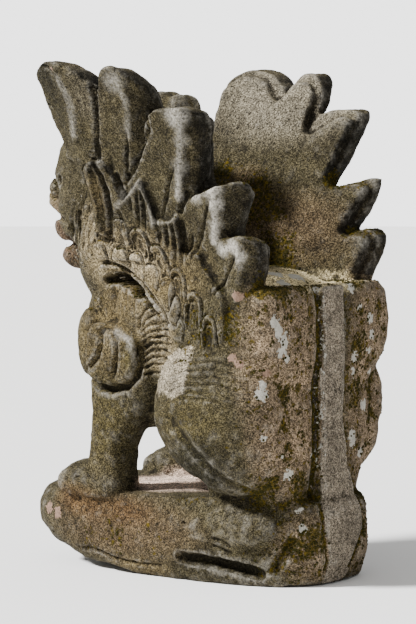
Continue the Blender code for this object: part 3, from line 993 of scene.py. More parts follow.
# %% Stamp the scales
HOOK = ((0.30, -0.8), (0.45, -0.1), (0.22, 0.36), (-0.18, 0.40), (-0.34, 0.05))
SCALE_GAP = 2.8              # width of the groove round a scale, and its depth
GAP_DEPTH = 3.4
DOME_FOOT = 0.8              # least height of a dome, and what its middle adds
DOME_RISE = 3.6
RIM_RISE = 3.6
MIDDLE_SUNK = 1.6
HOOK_RISE = 2.2
HOOK_WIDTH = 2.4


def stamp(field, scale, hooked):
    """Stamps one tongue over those before it: a dome, or a raised rim with a hooked middle."""
    (middle_y, middle_z), half, length, turn = scale
    c = math.cos(math.radians(turn))
    s = math.sin(math.radians(turn))
    off_y = skin.places[:, 1] - middle_y
    off_z = skin.places[:, 2] - middle_z
    across = (off_y * c - off_z * s) / half
    up = (off_y * s + off_z * c) / length
    middle = np.where(up > 0, np.hypot(across, up), np.abs(across))
    held = (skin.outward > OUTWARD_LEAST) & (skin.side > 90) & (up > -0.95)
    fade = np.clip((up + 0.95) / 0.35, 0, 1)
    gap = held & (middle >= 1) & (middle < 1 + SCALE_GAP / half)
    field[gap] = (-GAP_DEPTH * fade * (1 - (middle - 1) * half / SCALE_GAP))[gap]
    if hooked:
        edge = (1 - middle) * half
        rim = RIM_RISE * np.clip(1 - ((edge - 2.4) / 3.0) ** 2, 0, 1)
        shape = rim - MIDDLE_SUNK * np.clip((edge - 4.5) / 2, 0, 1)
        hook = np.array(HOOK) * (half, length)
        away, _ = line_distance(np.column_stack([across * half, up * length]), hook)
        hook_top = HOOK_RISE * np.clip(1 - (away / HOOK_WIDTH) ** 2, 0, 1) - MIDDLE_SUNK
        shape = np.maximum(shape, hook_top)
    else:
        shape = DOME_FOOT + DOME_RISE * np.sqrt(np.clip(1 - middle ** 2, 0, 1))
    within = held & (middle < 1)
    field[within] = (shape * fade)[within]


scale_field = np.zeros(len(skin.places))
for number, scale in reversed(list(enumerate(UPPER_SCALES))):
    stamp(scale_field, scale, number > 0)
for scale in reversed(LOWER_SCALES):
    stamp(scale_field, scale, False)
skin.pressed -= scale_field
print("scales stamped:", len(UPPER_SCALES) + len(LOWER_SCALES))

# %% Cut the shoulder
UNDERCUT = ((-84, 382), (-70, 384), (-54, 384), (-38, 384), (-24, 382), (-12, 377), (0, 369))
SLOT = ((-10, 379), (1, 371), (11, 361), (20, 350), (29, 339))
DISC_GROOVES = (((-68, 318), (-68, 300), (-74, 283), (-90, 268), (-99, 264)),
                ((-43, 308), (-43, 291), (-46, 273), (-50, 256)),
                ((-70, 316), (-61, 322), (-50, 317), (-43, 308)))
DISC_MARKS = (((-33, 294), (-33, 279)), ((-38, 268), (-31, 262)))
SHADOW_LINE = ((-96, 256), (-78, 245), (-56, 242), (-34, 247), (-18, 262), (-12, 282))
CHEST_STROKES = (((-70, 372), (-66, 350)), ((-44, 372), (-40, 346)), ((-26, 372), (-22, 340)),
                 ((-8, 362), (-8, 338)))



def valleys(ridges, points=5):
    """The lines midway between neighbouring ridges, up to a number of points."""
    return [between(upper[:points], lower[:points], 0.5) for upper, lower in zip(ridges, ridges[1:])]


skin.press(UNDERCUT, 8.0, 26, 70, 0.45)
skin.press(SLOT, 3.4, 9, 70, 0.6)
skin.press([(y + 0.6, z + 1.5) for y, z in RIM[1:-1]], 2.8, 7.0, 80, 0.5)
cut(skin.score, valleys(SHOULDER_RIDGES), 3.0, 4.0, 90)
cut(skin.score, DISC_GROOVES, 6, 7, 90, 0.4)
skin.raise_line([(y, z) for y, z, _ in DISC[1:6]], 6, 2.5, 90)
cut(skin.score, DISC_MARKS + CHEST_STROKES, 3, 1.8, 80)
skin.press(SHADOW_LINE, 7, 12, 70, 0.5)
cut(skin.score, valleys(TUFT_STRANDS, 4), 3, 3, 80)
print("shoulder cut, with", len(DISC_GROOVES), "grooves in the disc")

# %% Cut the mane and the lock
LOCK_EDGE = ((-36, 541), (-27, 520), (-26, 500), (-32, 478), (-42, 450), (-52, 436), (-64, 438),
             (-74, 456))
LOCK_FRONT = ((-60, 530), (-63, 508), (-66, 486), (-77, 458))
LOCK_HOLLOW = ((-37, 532), (-36, 514), (-40, 490), (-45, 466), (-51, 448))

for number in range(STRANDS - 1):
    line = between(MANE_FRONT, MANE_REAR, (number + 0.5) / (STRANDS - 1))
    skin.score(line, 3.4, 3.2, 40, 0.8)
skin.press(LOCK_EDGE, 4.5, 7, 110, 0.3)
skin.score(LOCK_HOLLOW, 7, 4, 120)
skin.press(LOCK_FRONT, 4.5, 7, 100, 0.4)
print("mane cut:", STRANDS, "strands")

# %% Cut the face
# temple, nostril, pupil and ear on the left side: place, radius and depth
FACE_PITS = (((66, -190, 512), 8, 12), ((13, -252, 476), 6, 6), ((41, -219, 501), 5, 4),
             ((84, -134, 566), 12, 7))
MOUTH = ((-246, 424), (-214, 424), (-190, 426), (-170, 432))
MOUTH_FRONT = ((-46, 430), (-24, 424), (0, 426), (24, 424), (46, 430))
LIP_FOLD = ((-232, 462), (-206, 460), (-186, 463), (-172, 458))
EYE = (39, 501)
EYE_HALF = (20, 15)
EYE_STEPS = 16
FROWN_LINES = 2
FROWN_GAP = 14

for side in (-1, 1):
    for (x, y, z), radius, depth in FACE_PITS:
        skin.pit((side * x, y, z), radius, depth)
skin.score(MOUTH, 5, 7, 30)
skin.score_end(MOUTH_FRONT, 6, 12, way=-1)
skin.score_end(((0, 468), (0, 444)), 5, 5, way=-1)
for side in (-1, 1):
    almond = []
    for step in range(EYE_STEPS + 1):
        angle = math.tau * step / EYE_STEPS
        almond.append((side * (EYE[0] + EYE_HALF[0] * math.cos(angle)),
                       EYE[1] + EYE_HALF[1] * math.sin(angle)))
    skin.score_end(almond, 4, 6, way=-1)
    skin.score_end(((side * 8, 556), (side * 14, 540)), 4, 4, way=-1)
    for number in range(FROWN_LINES):
        rise = FROWN_GAP * number
        skin.score_end(((side * 24, 574 + rise), (side * 2, 566 + rise)), 4, 3, way=-1)
skin.score(LIP_FOLD, 5, 5, 20)
print("face cut, with", len(FACE_PITS), "pits on each side")

# %% Cut the haunch, the feet and the base
HAUNCH_LINES = (
    ((72, 240), (101, 251), (137, 250), (178, 240)), ((56, 247), (92, 260), (135, 262), (177, 253)),
    ((49, 255), (90, 268), (133, 272), (175, 263)), ((45, 264), (87, 277), (130, 281), (162, 275)),
    ((54, 274), (91, 287), (127, 291), (154, 284)), ((65, 285), (95, 295), (125, 299)),
    ((64, 236), (98, 244), (134, 242), (170, 232)))
PETALS = (((-157, 26), (-142, 42), (-128, 60), (-108, 77), (-82, 90), (-68, 80), (-60, 60)),
          ((-62, 37), (-60, 64), (-44, 86), (-27, 91), (-8, 84), (3, 56)),
          ((5, 43), (12, 70), (31, 87), (47, 93)))
FOOT_UNDERCUT = ((50, 32), (72, 30), (94, 28), (129, 23), (158, 17))
SHANK_GROOVE = ((68, 214), (92, 190), (114, 164), (136, 143), (154, 128))
HEEL_GROOVE = ((196, 60), (188, 46), (178, 24))
TOE_LINES = (((104, 60), (116, 57), (124, 52)), ((100, 50), (112, 46), (122, 42)))
LOWER_CRACK = ((-124, 27), (-100, 28), (-84, 25), (-65, 19), (-43, 17), (-19, 16), (14, 17))

cut(skin.score, HAUNCH_LINES, 3.2, 2.3, 120, 0.6)
cut(skin.score, PETALS, 5.0, 1.5, 90, 0.6)
skin.press(FOOT_UNDERCUT, 9, 19, 70, 0.6)
skin.score(SHANK_GROOVE, 9, 5, 90)
skin.score(HEEL_GROOVE, 8, 9, 60)
cut(skin.score, TOE_LINES, 3.5, 3.5, 80)
skin.score(LOWER_CRACK, 4, 5, 80, 0.4)
for column, past_edge in ((1, 3), (2, -3)):
    skin.score_end([(level[column] + past_edge, level[0]) for level in BAND], 5, 4.5)
skin.finish()
print("lowest point:", skin.places.min(axis=0).round(1))
print("highest point:", skin.places.max(axis=0).round(1))

# %% [markdown]
# ## Weather
# Volcanic stone is full of bubbles, and years outdoors have rounded its edges and opened its pits.
# Smooth noise at a few sizes moves the skin a little in and out, and the strongest dips of the
# finest noise become pits. The noise is worked out here with numpy, from a fixed seed.

# %% Smooth noise
LATTICE = 48


def lumps(places, size, seed):
    """Smooth noise from -1 to 1, with lumps about this many notches across."""
    lattice = np.random.default_rng(seed).uniform(-1, 1, (LATTICE,) * 3)
    cell = places / size
    low = np.floor(cell).astype(int)
    share = cell - low
    share = share * share * (3 - 2 * share)
    total = np.zeros(len(places))
    for corner in itertools.product((0, 1), repeat=3):
        index = (low + corner) % LATTICE
        weight = np.prod(np.where(corner, share, 1 - share), axis=1)
        total += weight * lattice[index[:, 0], index[:, 1], index[:, 2]]
    return total


# %% Roughen the skin
BROAD = (42, 1.9)            # size and height of the lumps, in notches
MIDDLE = (15, 1.1)
GRAIN = (6, 0.55)
PIT_SIZE = 7
PIT_DEPTH = 3.0
PIT_START = 0.42
PIT_SLOPE = 0.25
PITS_MISSING = 0.85          # share of the pits that stays closed on the carved shoulder
# side view of the finely carved shoulder, where few pits have opened
QUIET = ((-100, 250), (-100, 440), (-60, 470), (10, 466), (60, 420), (120, 360), (140, 300),
         (56, 250))


def inside(points, outline):
    """Which points lie inside an outline."""
    within = np.zeros(len(points), dtype=bool)
    for (ay, az), (by, bz) in zip(outline, outline[1:] + outline[:1]):
        crosses = (az > points[:, 1]) != (bz > points[:, 1])
        at = (by - ay) * (points[:, 1] - az) / (bz - az + 1e-9) + ay
        within ^= crosses & (points[:, 0] < at)
    return within


def weather(mesh):
    rough = Skin(mesh)
    for number, (size, height) in enumerate((BROAD, MIDDLE, GRAIN)):
        rough.lift += height * lumps(rough.places, size, SEED + number)
    clusters = lumps(rough.places, PIT_SIZE * 2.7, SEED + 8)
    deep = lumps(rough.places, PIT_SIZE, SEED + 7) * clusters
    carved_part = inside(rough.places[:, 1:], QUIET) & (rough.side > 96)
    open_share = 1 - PITS_MISSING * carved_part
    rough.lift -= PIT_DEPTH * np.clip((deep - PIT_START) / PIT_SLOPE, 0, 1) * open_share
    rough.finish()


weather(stone_mesh)
print("pits and lumps set in", len(stone_mesh.vertices), "points")

# %% [markdown]
# ## Where the stone is worn, stained, grown over, and painted with light and shade
# Rain and sun treat each part of a statue in its own way: tips and ridges wear pale, hollows keep
# dirt and are darkened further as painted shade, level places and the foot of the back grow moss.
# A few places are painted pale as painted sunlight, and the rear facets of the feathers get painted
# shade. A painter could do this by hand. Here the skin measures its own ridges and hollows, and soft
# spots at named places give the rest, all kept as values on the points, so that the material can
# break their edges up with its own grain.

# %% Measure ridges and hollows
def settled(mesh, places, rounds):
    """The points after each has moved, again and again, half way to the middle of its neighbours."""
    edges = np.empty(len(mesh.edges) * 2, dtype=np.int32)
    mesh.edges.foreach_get("vertices", edges)
    first, second = edges.reshape(-1, 2).T
    count = len(places)
    shared = np.bincount(edges, minlength=count)[:, None]
    smooth = places.copy()
    for _ in range(rounds):
        sums = [np.bincount(first, smooth[second, axis], count)
                + np.bincount(second, smooth[first, axis], count) for axis in range(3)]
        smooth = (smooth + np.column_stack(sums) / shared) / 2
    return smooth


def proud(mesh, rounds):
    """How far each point stands out of its surroundings, in notches."""
    here = Skin(mesh)
    return ((here.places - settled(mesh, here.places, rounds)) * here.facing).sum(axis=1)


# %% Colours of the stone, with painted sunlight and shade
GREY = (0.040, 0.033, 0.0165)
PALE_GREY = (0.100, 0.086, 0.060)
OLIVE = (0.043, 0.034, 0.0115)
TAN = (0.092, 0.067, 0.029)
SAND = (0.165, 0.130, 0.072)
CREAM = (0.250, 0.200, 0.120)
UMBER = (0.080, 0.053, 0.028)
FLANK = (0.178, 0.128, 0.080)
RUST = (0.070, 0.036, 0.012)
CLAY_PINK = (0.098, 0.058, 0.034)
# the next two are pale pink stone and yellow moss brightened as painted sunlight, on the ledge and on the
# seat
SUNLIT_LEDGE_PINK = (0.700, 0.520, 0.400)
SUNLIT_SEAT = (0.640, 0.530, 0.300)
NEAR_BLACK = (0.014, 0.0120, 0.0050)
PALE_SUNLIT = (0.160, 0.140, 0.102)
# the next colour is painted sunlight on the front of the haunch
SUNLIT_HAUNCH_GREY = (0.235, 0.200, 0.145)

# colour, centre, radii, strength; a centre with side 0 holds for both sides
TINTS = (
    # the near-black spots darken the front tip of the wing, the lower haunch and the foot of the base
    (NEAR_BLACK, (234, -80, 635), (60, 34, 70), 0.95), (PALE_GREY, (226, -18, 630), (50, 30, 60), 0.4),
    (TAN, (140, -10, 395), (60, 150, 70), 0.95), (TAN, (110, -60, 320), (60, 95, 95), 0.75),
    # the second sand spot and the cream spot after it are partly painted sunlight on the tops of the lower
    # scales
    (SAND, (120, -104, 445), (60, 54, 90), 1.6), (SAND, (150, -30, 425), (40, 90, 36), 1.0),
    (CREAM, (146, -10, 405), (34, 70, 34), 0.8), (SAND, (146, 25, 310), (40, 44, 66), 1.4),
    (TAN, (175, -45, 490), (30, 24, 60), 0.6), (OLIVE, (130, -22, 288), (24, 18, 34), 0.9),
    (OLIVE, (110, -75, 200), (60, 60, 90), 0.8), (FLANK, (105, 205, 290), (90, 70, 150), 1.3),
    (FLANK, (90, 200, 190), (80, 60, 100), 1.2), (OLIVE, (150, 90, 210), (70, 75, 75), 0.8),
    (NEAR_BLACK, (150, 100, 160), (70, 70, 50), 1.1), (UMBER, (110, -40, 60), (90, 150, 55), 0.8),
    (RUST, (110, -120, 96), (60, 60, 30), 0.8), (RUST, (120, -60, 84), (50, 90, 24), 0.6),
    (FLANK, (60, 215, 50), (90, 50, 56), 0.9), (NEAR_BLACK, (100, 100, 26), (70, 90, 30), 0.5),
    (TAN, (115, -20, 10), (30, 60, 16), 0.8),
    (CLAY_PINK, (0, -222, 436), (100, 84, 76), 1.1), (SAND, (0, -225, 492), (70, 50, 40), 0.7),
    # painted sunlight: the pale pink ledge between the legs and the pale seat behind the wings
    (SUNLIT_LEDGE_PINK, (0, -40, 108), (95, 95, 30), 1.6), (SUNLIT_SEAT, (0, 150, 383), (120, 90, 20), 1.6),
)
# the same for the inner face of each wing, which looks at the other wing
INNER_TINTS = (
    # the pale spot at the top of the inner face is partly painted sunlight, above the other wing's shadow
    (PALE_SUNLIT, (190, 20, 625), (110, 150, 100), 1.0), (GREY, (150, 40, 520), (90, 130, 60), 0.9),
    (UMBER, (120, 60, 440), (80, 130, 70), 0.8), (RUST, (112, -10, 470), (50, 60, 70), 0.6),
    (TAN, (120, 60, 400), (70, 100, 30), 0.6),
)


WINGS_FROM = 395             # height above which an inward face belongs to a wing


def spot(places, centre, radii):
    """1 at a spot's middle and 0 from its radii outward, the same on both sides of the statue."""
    apart = (np.abs(places) * (1, 0, 0) + places * (0, 1, 1) - np.array(centre, float)) / radii
    return np.clip(1.6 * (1 - np.linalg.norm(apart, axis=1)), 0, 1)


def tinted(here):
    """The colour of each point: grey stone, with soft spots of the other colours over it."""
    colour = np.tile(np.array(GREY), (len(here.places), 1))
    inner = np.clip((-here.outward - 0.1) / 0.3, 0, 1) * (here.places[:, 2] > WINGS_FROM)
    for tints, where in ((TINTS, 1), (INNER_TINTS, inner)):
        for hue, centre, radii, strength in tints:
            amount = where * strength * spot(here.places, centre, radii)
            share = np.clip(amount, 0, 1)[:, None]
            colour = colour * (1 - share) + np.array(hue) * share
    return colour


# %% Places of moss, lichen and fresh breaks
# centre and radius, in notches; the statue's left side was seen, the right side is in keeping
MOSS_SPOTS = (
    ((132, 182, 379), 26, 0.8), ((117, 200, 371), 26, 0.8), ((38, 195, 385), 22, 0.8),
    ((71, 199, 377), 22, 0.8), ((-15, 127, 388), 24, 0.7), ((-57, 193, 376), 24, 0.8),
    ((-68, 155, 379), 24, 0.8), ((-68, 58, 397), 22, 0.8), ((-149, 112, 514), 16, 1.0),
    ((-133, 111, 509), 14, 1.0), ((-128, 152, 443), 12, 0.9), ((-115, -49, 517), 30, 0.6),
    ((-107, 10, 497), 40, 0.6), ((-96, 30, 471), 44, 0.65), ((-73, 66, 415), 44, 0.8),
    ((120, 205, 340), 30, 0.55), ((100, 206, 290), 34, 0.5), ((95, 205, 230), 34, 0.5),
    ((120, 190, 200), 44, 0.5), ((95, 205, 165), 34, 0.65), ((110, 170, 130), 40, 0.7),
    ((70, 205, 125), 34, 0.8), ((62, 212, 60), 34, 0.95), ((90, 205, 50), 34, 0.8),
    ((105, 190, 30), 36, 0.7), ((-60, 204, 300), 36, 0.8), ((-50, 205, 240), 34, 0.8),
    ((-60, 203, 180), 34, 0.6), ((-40, 214, 60), 26, 0.9), ((-60, 210, 100), 26, 0.7),
    ((-100, 200, 250), 50, 0.4), ((160, 100, 330), 44, 0.5), ((146, 150, 330), 36, 0.6),
    ((150, 80, 300), 30, 0.4), ((120, 60, 120), 40, 0.35), ((124, -60, 50), 40, 0.45),
    ((120, -100, 40), 34, 0.45), ((122, 0, 50), 44, 0.4), ((115, 40, 190), 60, 0.25),
)
CRUST_SPOTS = (
    ((140, 188, 250), 11), ((136, 185, 262), 7), ((134, 203, 340), 9), ((128, 204, 328), 10),
    ((119, 207, 316), 11), ((121, 205, 303), 10), ((108, 206, 290), 7), ((88, 193, 146), 9),
    ((96, 194, 140), 6), ((75, 207, 77), 7), ((137, 189, 195), 6), ((105, 195, 170), 4),
    ((48, 204, 168), 5), ((103, 178, 61), 5), ((73, 201, 99), 6), ((90, 196, 103), 5),
    ((-82, 208, 333), 9), ((-85, 208, 312), 9), ((-78, 208, 292), 7), ((-47, 207, 286), 9),
    ((-43, 205, 268), 7), ((-75, 201, 220), 10), ((-47, 203, 184), 10), ((-52, 203, 172), 8),
    ((-71, 199, 158), 9), ((31, 135, 389), 14), ((7, 149, 387), 14), ((45, 159, 382), 12),
    ((-44, 201, 374), 10), ((43, 205, 378), 8), ((-128, 190, 300), 9), ((-139, 188, 232), 8),
    ((-60, 207, 350), 6), ((-90, 204, 262), 6),
)
CHIPS = (((152, 160, 372), 8), ((107, -160, 71), 9), ((99, -180, 75), 8), ((132, 190, 275), 6),
         ((148, 160, 286), 6), ((149, 149, 294), 6), ((249, -57, 652), 4))
WHITE_TIPS = (((239, 33, 636), 16, 0.4), ((213, 110, 594), 16, 0.7), ((206, 112, 560), 12, 0.5),
              ((190, 98, 530), 12, 0.4), ((184, 140, 505), 15, 1.0), ((178, 142, 485), 12, 0.9),
              ((168, 137, 460), 10, 0.5), ((172, 113, 497), 12, 0.6), ((166, 162, 433), 11, 1.0),
              ((163, 169, 421), 10, 0.9), ((158, 142, 429), 10, 0.7), ((163, 168, 408), 8, 0.5))
# worn ridges of the left side, as lines with their reach and strength; the right side has the same
PALE_LINES = (
    (((213, 110, 594), (211, 114, 579), (201, 106, 552), (187, 94, 521), (172, 83, 492)), 5, 0.75),
    (((184, 140, 505), (180, 142, 485), (171, 138, 463), (159, 129, 438)), 5.5, 1.0),
    (((158, 140, 428), (163, 156, 434), (166, 162, 433), (165, 167, 419), (163, 169, 413)), 4.5, 1.0),
    (((170, 91, 490), (175, 113, 499), (184, 140, 505)), 4, 0.6),
    (((215, -8, 645), (239, 33, 636), (234, 38, 625), (228, 42, 614), (221, 41, 595),
      (206, 29, 564)), 4.5, 0.5),
    (((180, 61, 597), (205, 90, 606), (213, 110, 594)), 4, 0.5),
    (((246, -50, 642), (237, -45, 627), (228, -45, 611), (217, -48, 592), (205, -56, 571)), 5, 0.4),
    (((187, -29, 537), (179, -21, 524), (170, -14, 506), (165, -5, 492)), 5, 0.5),
    (((183, 29, 514), (177, 14, 502), (165, -9, 488), (163, -19, 481)), 5, 0.5),
    (((183, 29, 514), (178, 34, 495), (173, 38, 482), (161, 32, 454)), 5, 0.45),
    (((163, 35, 460), (166, 51, 462), (167, 64, 464), (165, 72, 469)), 5, 0.5),
    (((132, -83, 398), (137, -58, 402), (140, -32, 396), (141, -8, 384), (143, 17, 362),
      (142, 45, 332)), 6, 0.7),
    (((132, -42, 318), (132, -22, 308), (127, -18, 286), (127, -28, 262)), 5, 0.6),
    (((132, -41, 304), (128, -46, 316), (122, -59, 321), (124, -68, 316)), 4, 0.5),
)
# the patch of painted sunlight on the front of the haunch, in side view
SUNLIT_HAUNCH = ((31, 245), (20, 268), (40, 288), (66, 300), (91, 308), (91, 250), (72, 240), (56, 245))


def spots(places, chosen, soft=0.5):
    """The strongest of many round spots at each point, from 0 to 1."""
    total = np.zeros(len(places))
    for centre, radius, *strength in chosen:
        away = np.linalg.norm(places - np.array(centre, float), axis=1) / radius
        share = np.clip((1.25 - away) / soft, 0, 1) * (strength[0] if strength else 1)
        total = np.maximum(total, share)
    return total


# %% Paint the points
POINT_VALUES = ("worn", "hollow", "moss", "crust", "split", "chip")
FINE_ROUNDS = 4              # rounds of settling that show fine ridges, and broad ones
BROAD_ROUNDS = 28
SEAT_TOP = 372               # heights: the body's top at the rear, the back, and the feathers' tips
BACK_FROM = 340
MOSS_TOP = 590
# share of painted shade laid on the rear facets of the feathers
FACET_SHADE = 0.86            # how much the rear facets of the feathers darken
SUNLIT_HAUNCH_SHARE = 0.9
# painted sunlight, where the hollows get no dirt and painted shade, as centre and radii: the seat, and the
# ledge between the legs
SUNLIT_SEAT_SPOT = ((0, 150, 385), (130, 90, 34))
SUNLIT_LEDGE_SPOT = ((0, -40, 108), (110, 110, 34))


def growth(here, hollow):
    """Moss at its named places, up the back and on level ground, but not on the high tips."""
    y = here.places[:, 1]
    z = here.places[:, 2]
    level = np.clip((here.facing[:, 2] - 0.35) / 0.4, 0, 1)
    moss = spots(here.places, MOSS_SPOTS, 0.9) * (0.55 + 0.45 * np.clip(hollow + level, 0, 1))
    rear = np.clip((y - 120) / 80, 0, 1) * (z < SEAT_TOP)
    moss = np.maximum(moss, rear * (0.26 + 0.40 * np.clip(hollow, 0, 1)))
    moss = np.maximum(moss, level * 0.34 * (z > BACK_FROM))
    return np.clip(moss * 1.45, 0, 0.95) * np.clip((MOSS_TOP - z) / 60, 0, 1)


def on_band(here):
    """Which points lie on the band down the back, and how near each is to the band's left edge."""
    x, y, z = here.places.T
    middle = np.interp(z, BAND_HEIGHTS, [(left + right) / 2 for _, left, right, _ in BAND_UP])
    half = np.interp(z, BAND_HEIGHTS, [(left - right) / 2 for _, left, right, _ in BAND_UP])
    split = (np.abs(x - middle) < half) * (here.facing[:, 1] > 0.25) * (y > 190)
    left_edge = np.clip(1 - np.abs(x - middle - half + 2) / 5, 0, 1)
    return split, left_edge * (y > 196) * (z > 150) * (z < 375)


def paint(mesh):
    """Keeps wear, dirt and painted shade, growth, the band, breaks and the tint of each point, with its
    painted sunlight and shade, as values on it.
    """
    here = Skin(mesh)
    places = here.places
    side_view = places[:, 1:]
    height = places[:, 2]
    fine = proud(mesh, FINE_ROUNDS)
    broad = proud(mesh, BROAD_ROUNDS)
    worn = np.clip(fine / 0.9 - 0.5, 0, 1) * 0.30 + np.clip(broad / 7 - 0.9, 0, 1) * 0.10
    # hollows, fine creases and broad recesses alike, keep dirt and are darkened as painted shade
    hollow = np.clip(-fine / 0.6 - 0.1, 0, 1) * 0.85 + np.clip(-broad / 5, 0, 1) * 0.7
    moss = growth(here, hollow)
    split, left_edge = on_band(here)
    crust = np.maximum(spots(places, CRUST_SPOTS, 0.8) * 0.9, 0.36 * left_edge)
    outer = np.column_stack([here.side, side_view])
    for line, reach, strength in PALE_LINES:
        distance, _ = line_distance(outer, np.array(line, dtype=float))
        share = np.clip(1.3 - distance / reach, 0, 1) * (here.outward > 0)
        worn = np.maximum(worn, strength * share)
    # painted shade, with some dark growth: the rear facets of the feathers darken where they face back,
    # away from the lamp
    rear_facet_shade = np.clip((here.facing[:, 1] - 0.42) / 0.25, 0, 1) * (here.side > 98) * (height > 386)
    colour = tinted(here) * (1 - FACET_SHADE * rear_facet_shade[:, None])
    # painted sunlight: the front of the haunch is made paler, with a crisp edge where the shade begins
    pale_mask = inside(side_view, SUNLIT_HAUNCH) * (here.side > 104) * (height > 238)
    colour = colour + (np.array(SUNLIT_HAUNCH_GREY) - colour) * pale_mask[:, None] * SUNLIT_HAUNCH_SHARE
    # painted sunlight on the seat and the ledge: no painted shade of hollows there, and less moss on the
    # seat
    sunlit_seat = spot(places, *SUNLIT_SEAT_SPOT)
    sunlit_spots = np.maximum(spot(places, *SUNLIT_LEDGE_SPOT), sunlit_seat)
    values = {"worn": np.maximum(worn, spots(places, WHITE_TIPS, 0.8)),
              "hollow": hollow * (1 - 0.95 * sunlit_spots),
              "moss": moss * (1 - 0.7 * split) * (1 - 0.45 * sunlit_seat),
              "crust": crust, "split": split.astype(float), "chip": spots(places, CHIPS)}
    for name in POINT_VALUES:
        made = mesh.attributes.new(name, "FLOAT", "POINT")
        made.data.foreach_set("value", np.clip(values[name], 0, 1).astype(np.float32))
    tint = mesh.attributes.new("tint", "FLOAT_COLOR", "POINT")
    rgba = np.column_stack([colour, np.ones(len(colour))])
    tint.data.foreach_set("color", rgba.astype(np.float32).ravel())
    return {name: round(float(values[name].mean()), 3) for name in POINT_VALUES}


print("to be painted on the points:", ", ".join(POINT_VALUES))

# %% [markdown]
# ## The stone's own look
# The stone is a dark lava full of small pits and pale crystals, under a film of grime, algae and
# lichen. A photograph could be wrapped on it, but noise in the object's own coordinates never
# stretches or shows a seam. Three effects are node groups: the grain, patches with a broken edge,
# and worn edges. The moss pads use the grain and the patches again with their own values.

# %% Helpers for shader groups
def start_group(name, inputs, outputs):
    """A shader node group with named inputs and outputs, all plain numbers but the vector."""
    group = bpy.data.node_groups.new(name, "ShaderNodeTree")
    take_in(group, (("Vector", "Vector", None), *((label, "Float", value) for label, value in inputs)))
    for label in outputs:
        group.interface.new_socket(label, in_out="OUTPUT", socket_type="NodeSocketFloat")
    return group, group.nodes.new("NodeGroupInput").outputs, group.nodes.new("NodeGroupOutput").inputs


def reckon(tree, what, a, b=0.0):
    """One Math node."""
    return add(tree, "ShaderNodeMath", {0: a, 1: b}, operation=what).outputs[0]


def spread(tree, value, low, high, to_low=0.0, to_high=1.0):
    """One Map Range node."""
    return add(tree, "ShaderNodeMapRange", {"Value": value, "From Min": low, "From Max": high,
                                            "To Min": to_low, "To Max": to_high}).outputs[0]


def blend(tree, share, first, second, how="MIX"):
    """One Mix node for colours."""
    return add(tree, "ShaderNodeMix", {0: share, 6: first, 7: second}, data_type="RGBA",
               blend_type=how).outputs[2]


def over(tree, colour, mask, share, top):
    """A colour laid over another by a share of a mask."""
    return blend(tree, reckon(tree, "MULTIPLY", mask, share), colour, top)


def noise(tree, vector, scale, detail=2.0, rough=0.5):
    return add(tree, "ShaderNodeTexNoise", {"Vector": vector, "Scale": scale, "Detail": detail,
                                            "Roughness": rough}).outputs[0]


def cells(tree, vector, scale):
    return add(tree, "ShaderNodeTexVoronoi", {"Vector": vector, "Scale": scale}).outputs


def counted(tree, vector, size):
    """A vector counted in steps of this size."""
    return add(tree, "ShaderNodeVectorMath", {0: vector, "Scale": reckon(tree, "DIVIDE", 1.0, size)},
               operation="SCALE").outputs[0]


def broken(tree, vector, size, amount):
    """An amount with its edge broken up by noise of this size."""
    cloud = noise(tree, counted(tree, vector, size), 1.0, 5.0, 0.65)
    return reckon(tree, "ADD", spread(tree, cloud, 0.30, 0.70, -0.5, 0.5), amount)


# %% The grain of the stone
def stone_grain():
    group, given, out = start_group("Stone grain", (("Size", 0.004),),
                                    ("Tone", "Pits", "Crystals", "Height"))
    vector = counted(group, given["Vector"], given["Size"])
    fine = noise(group, vector, 0.9, 3.0, 0.7)
    middle = noise(group, vector, 0.22, 3.0, 0.6)
    gate = spread(group, noise(group, vector, 0.12, 1.0), 0.42, 0.60)
    hollows = spread(group, cells(group, vector, 0.42)["Distance"], 0.34, 0.12)
    pits = reckon(group, "MAXIMUM", reckon(group, "MULTIPLY", hollows, gate),
                  spread(group, fine, 0.44, 0.33))
    small = spread(group, cells(group, vector, 1.3)["Distance"], 0.30, 0.16)
    glint = reckon(group, "MULTIPLY", small, spread(group, middle, 0.50, 0.62))
    sand = add(group, "ShaderNodeSeparateColor", {"Color": cells(group, vector, 1.6)["Color"]}).outputs[0]
    tone = reckon(group, "MULTIPLY", spread(group, fine, 0.34, 0.68, 0.38, 1.85),
                  spread(group, middle, 0.35, 0.65, 0.80, 1.20))
    tone = reckon(group, "MULTIPLY", tone, spread(group, sand, 0.0, 1.0, 0.28, 1.75))
    rise = reckon(group, "ADD", reckon(group, "MULTIPLY", fine, 0.6), reckon(group, "MULTIPLY", sand, 0.25))
    height = reckon(group, "SUBTRACT", rise, reckon(group, "MULTIPLY", pits, 0.5))
    for name, value in (("Tone", tone), ("Pits", pits), ("Crystals", glint), ("Height", height)):
        group.links.new(value, out[name])
    return group


# %% Patches with a broken edge, and worn edges
def patches_group():
    group, given, out = start_group("Patches", (("Amount", 0.5), ("Size", 0.01), ("Sharpness", 0.1)),
                                    ("Mask",))
    grown_over = broken(group, given["Vector"], given["Size"], given["Amount"])
    top = reckon(group, "ADD", given["Sharpness"], 0.5)
    group.links.new(spread(group, grown_over, 0.5, top), out["Mask"])
    return group


def worn_group():
    group, given, out = start_group("Worn edge", (("Worn", 0.5), ("Grain", 0.003)), ("Mask",))
    cloud = noise(group, counted(group, given["Vector"], given["Grain"]), 1.0, 3.0, 0.7)
    pale_mask = reckon(group, "MULTIPLY", given["Worn"], spread(group, cloud, 0.32, 0.62, 0.15, 1.3))
    group.links.new(reckon(group, "MINIMUM", pale_mask, 1.0), out["Mask"])
    return group


GRAIN_GROUP = stone_grain()
PATCH_GROUP = patches_group()
WORN_GROUP = worn_group()


def use(tree, group, **inputs):
    """A node group placed in a tree, with its inputs set or linked."""
    return add(tree, "ShaderNodeGroup", inputs, node_tree=group).outputs


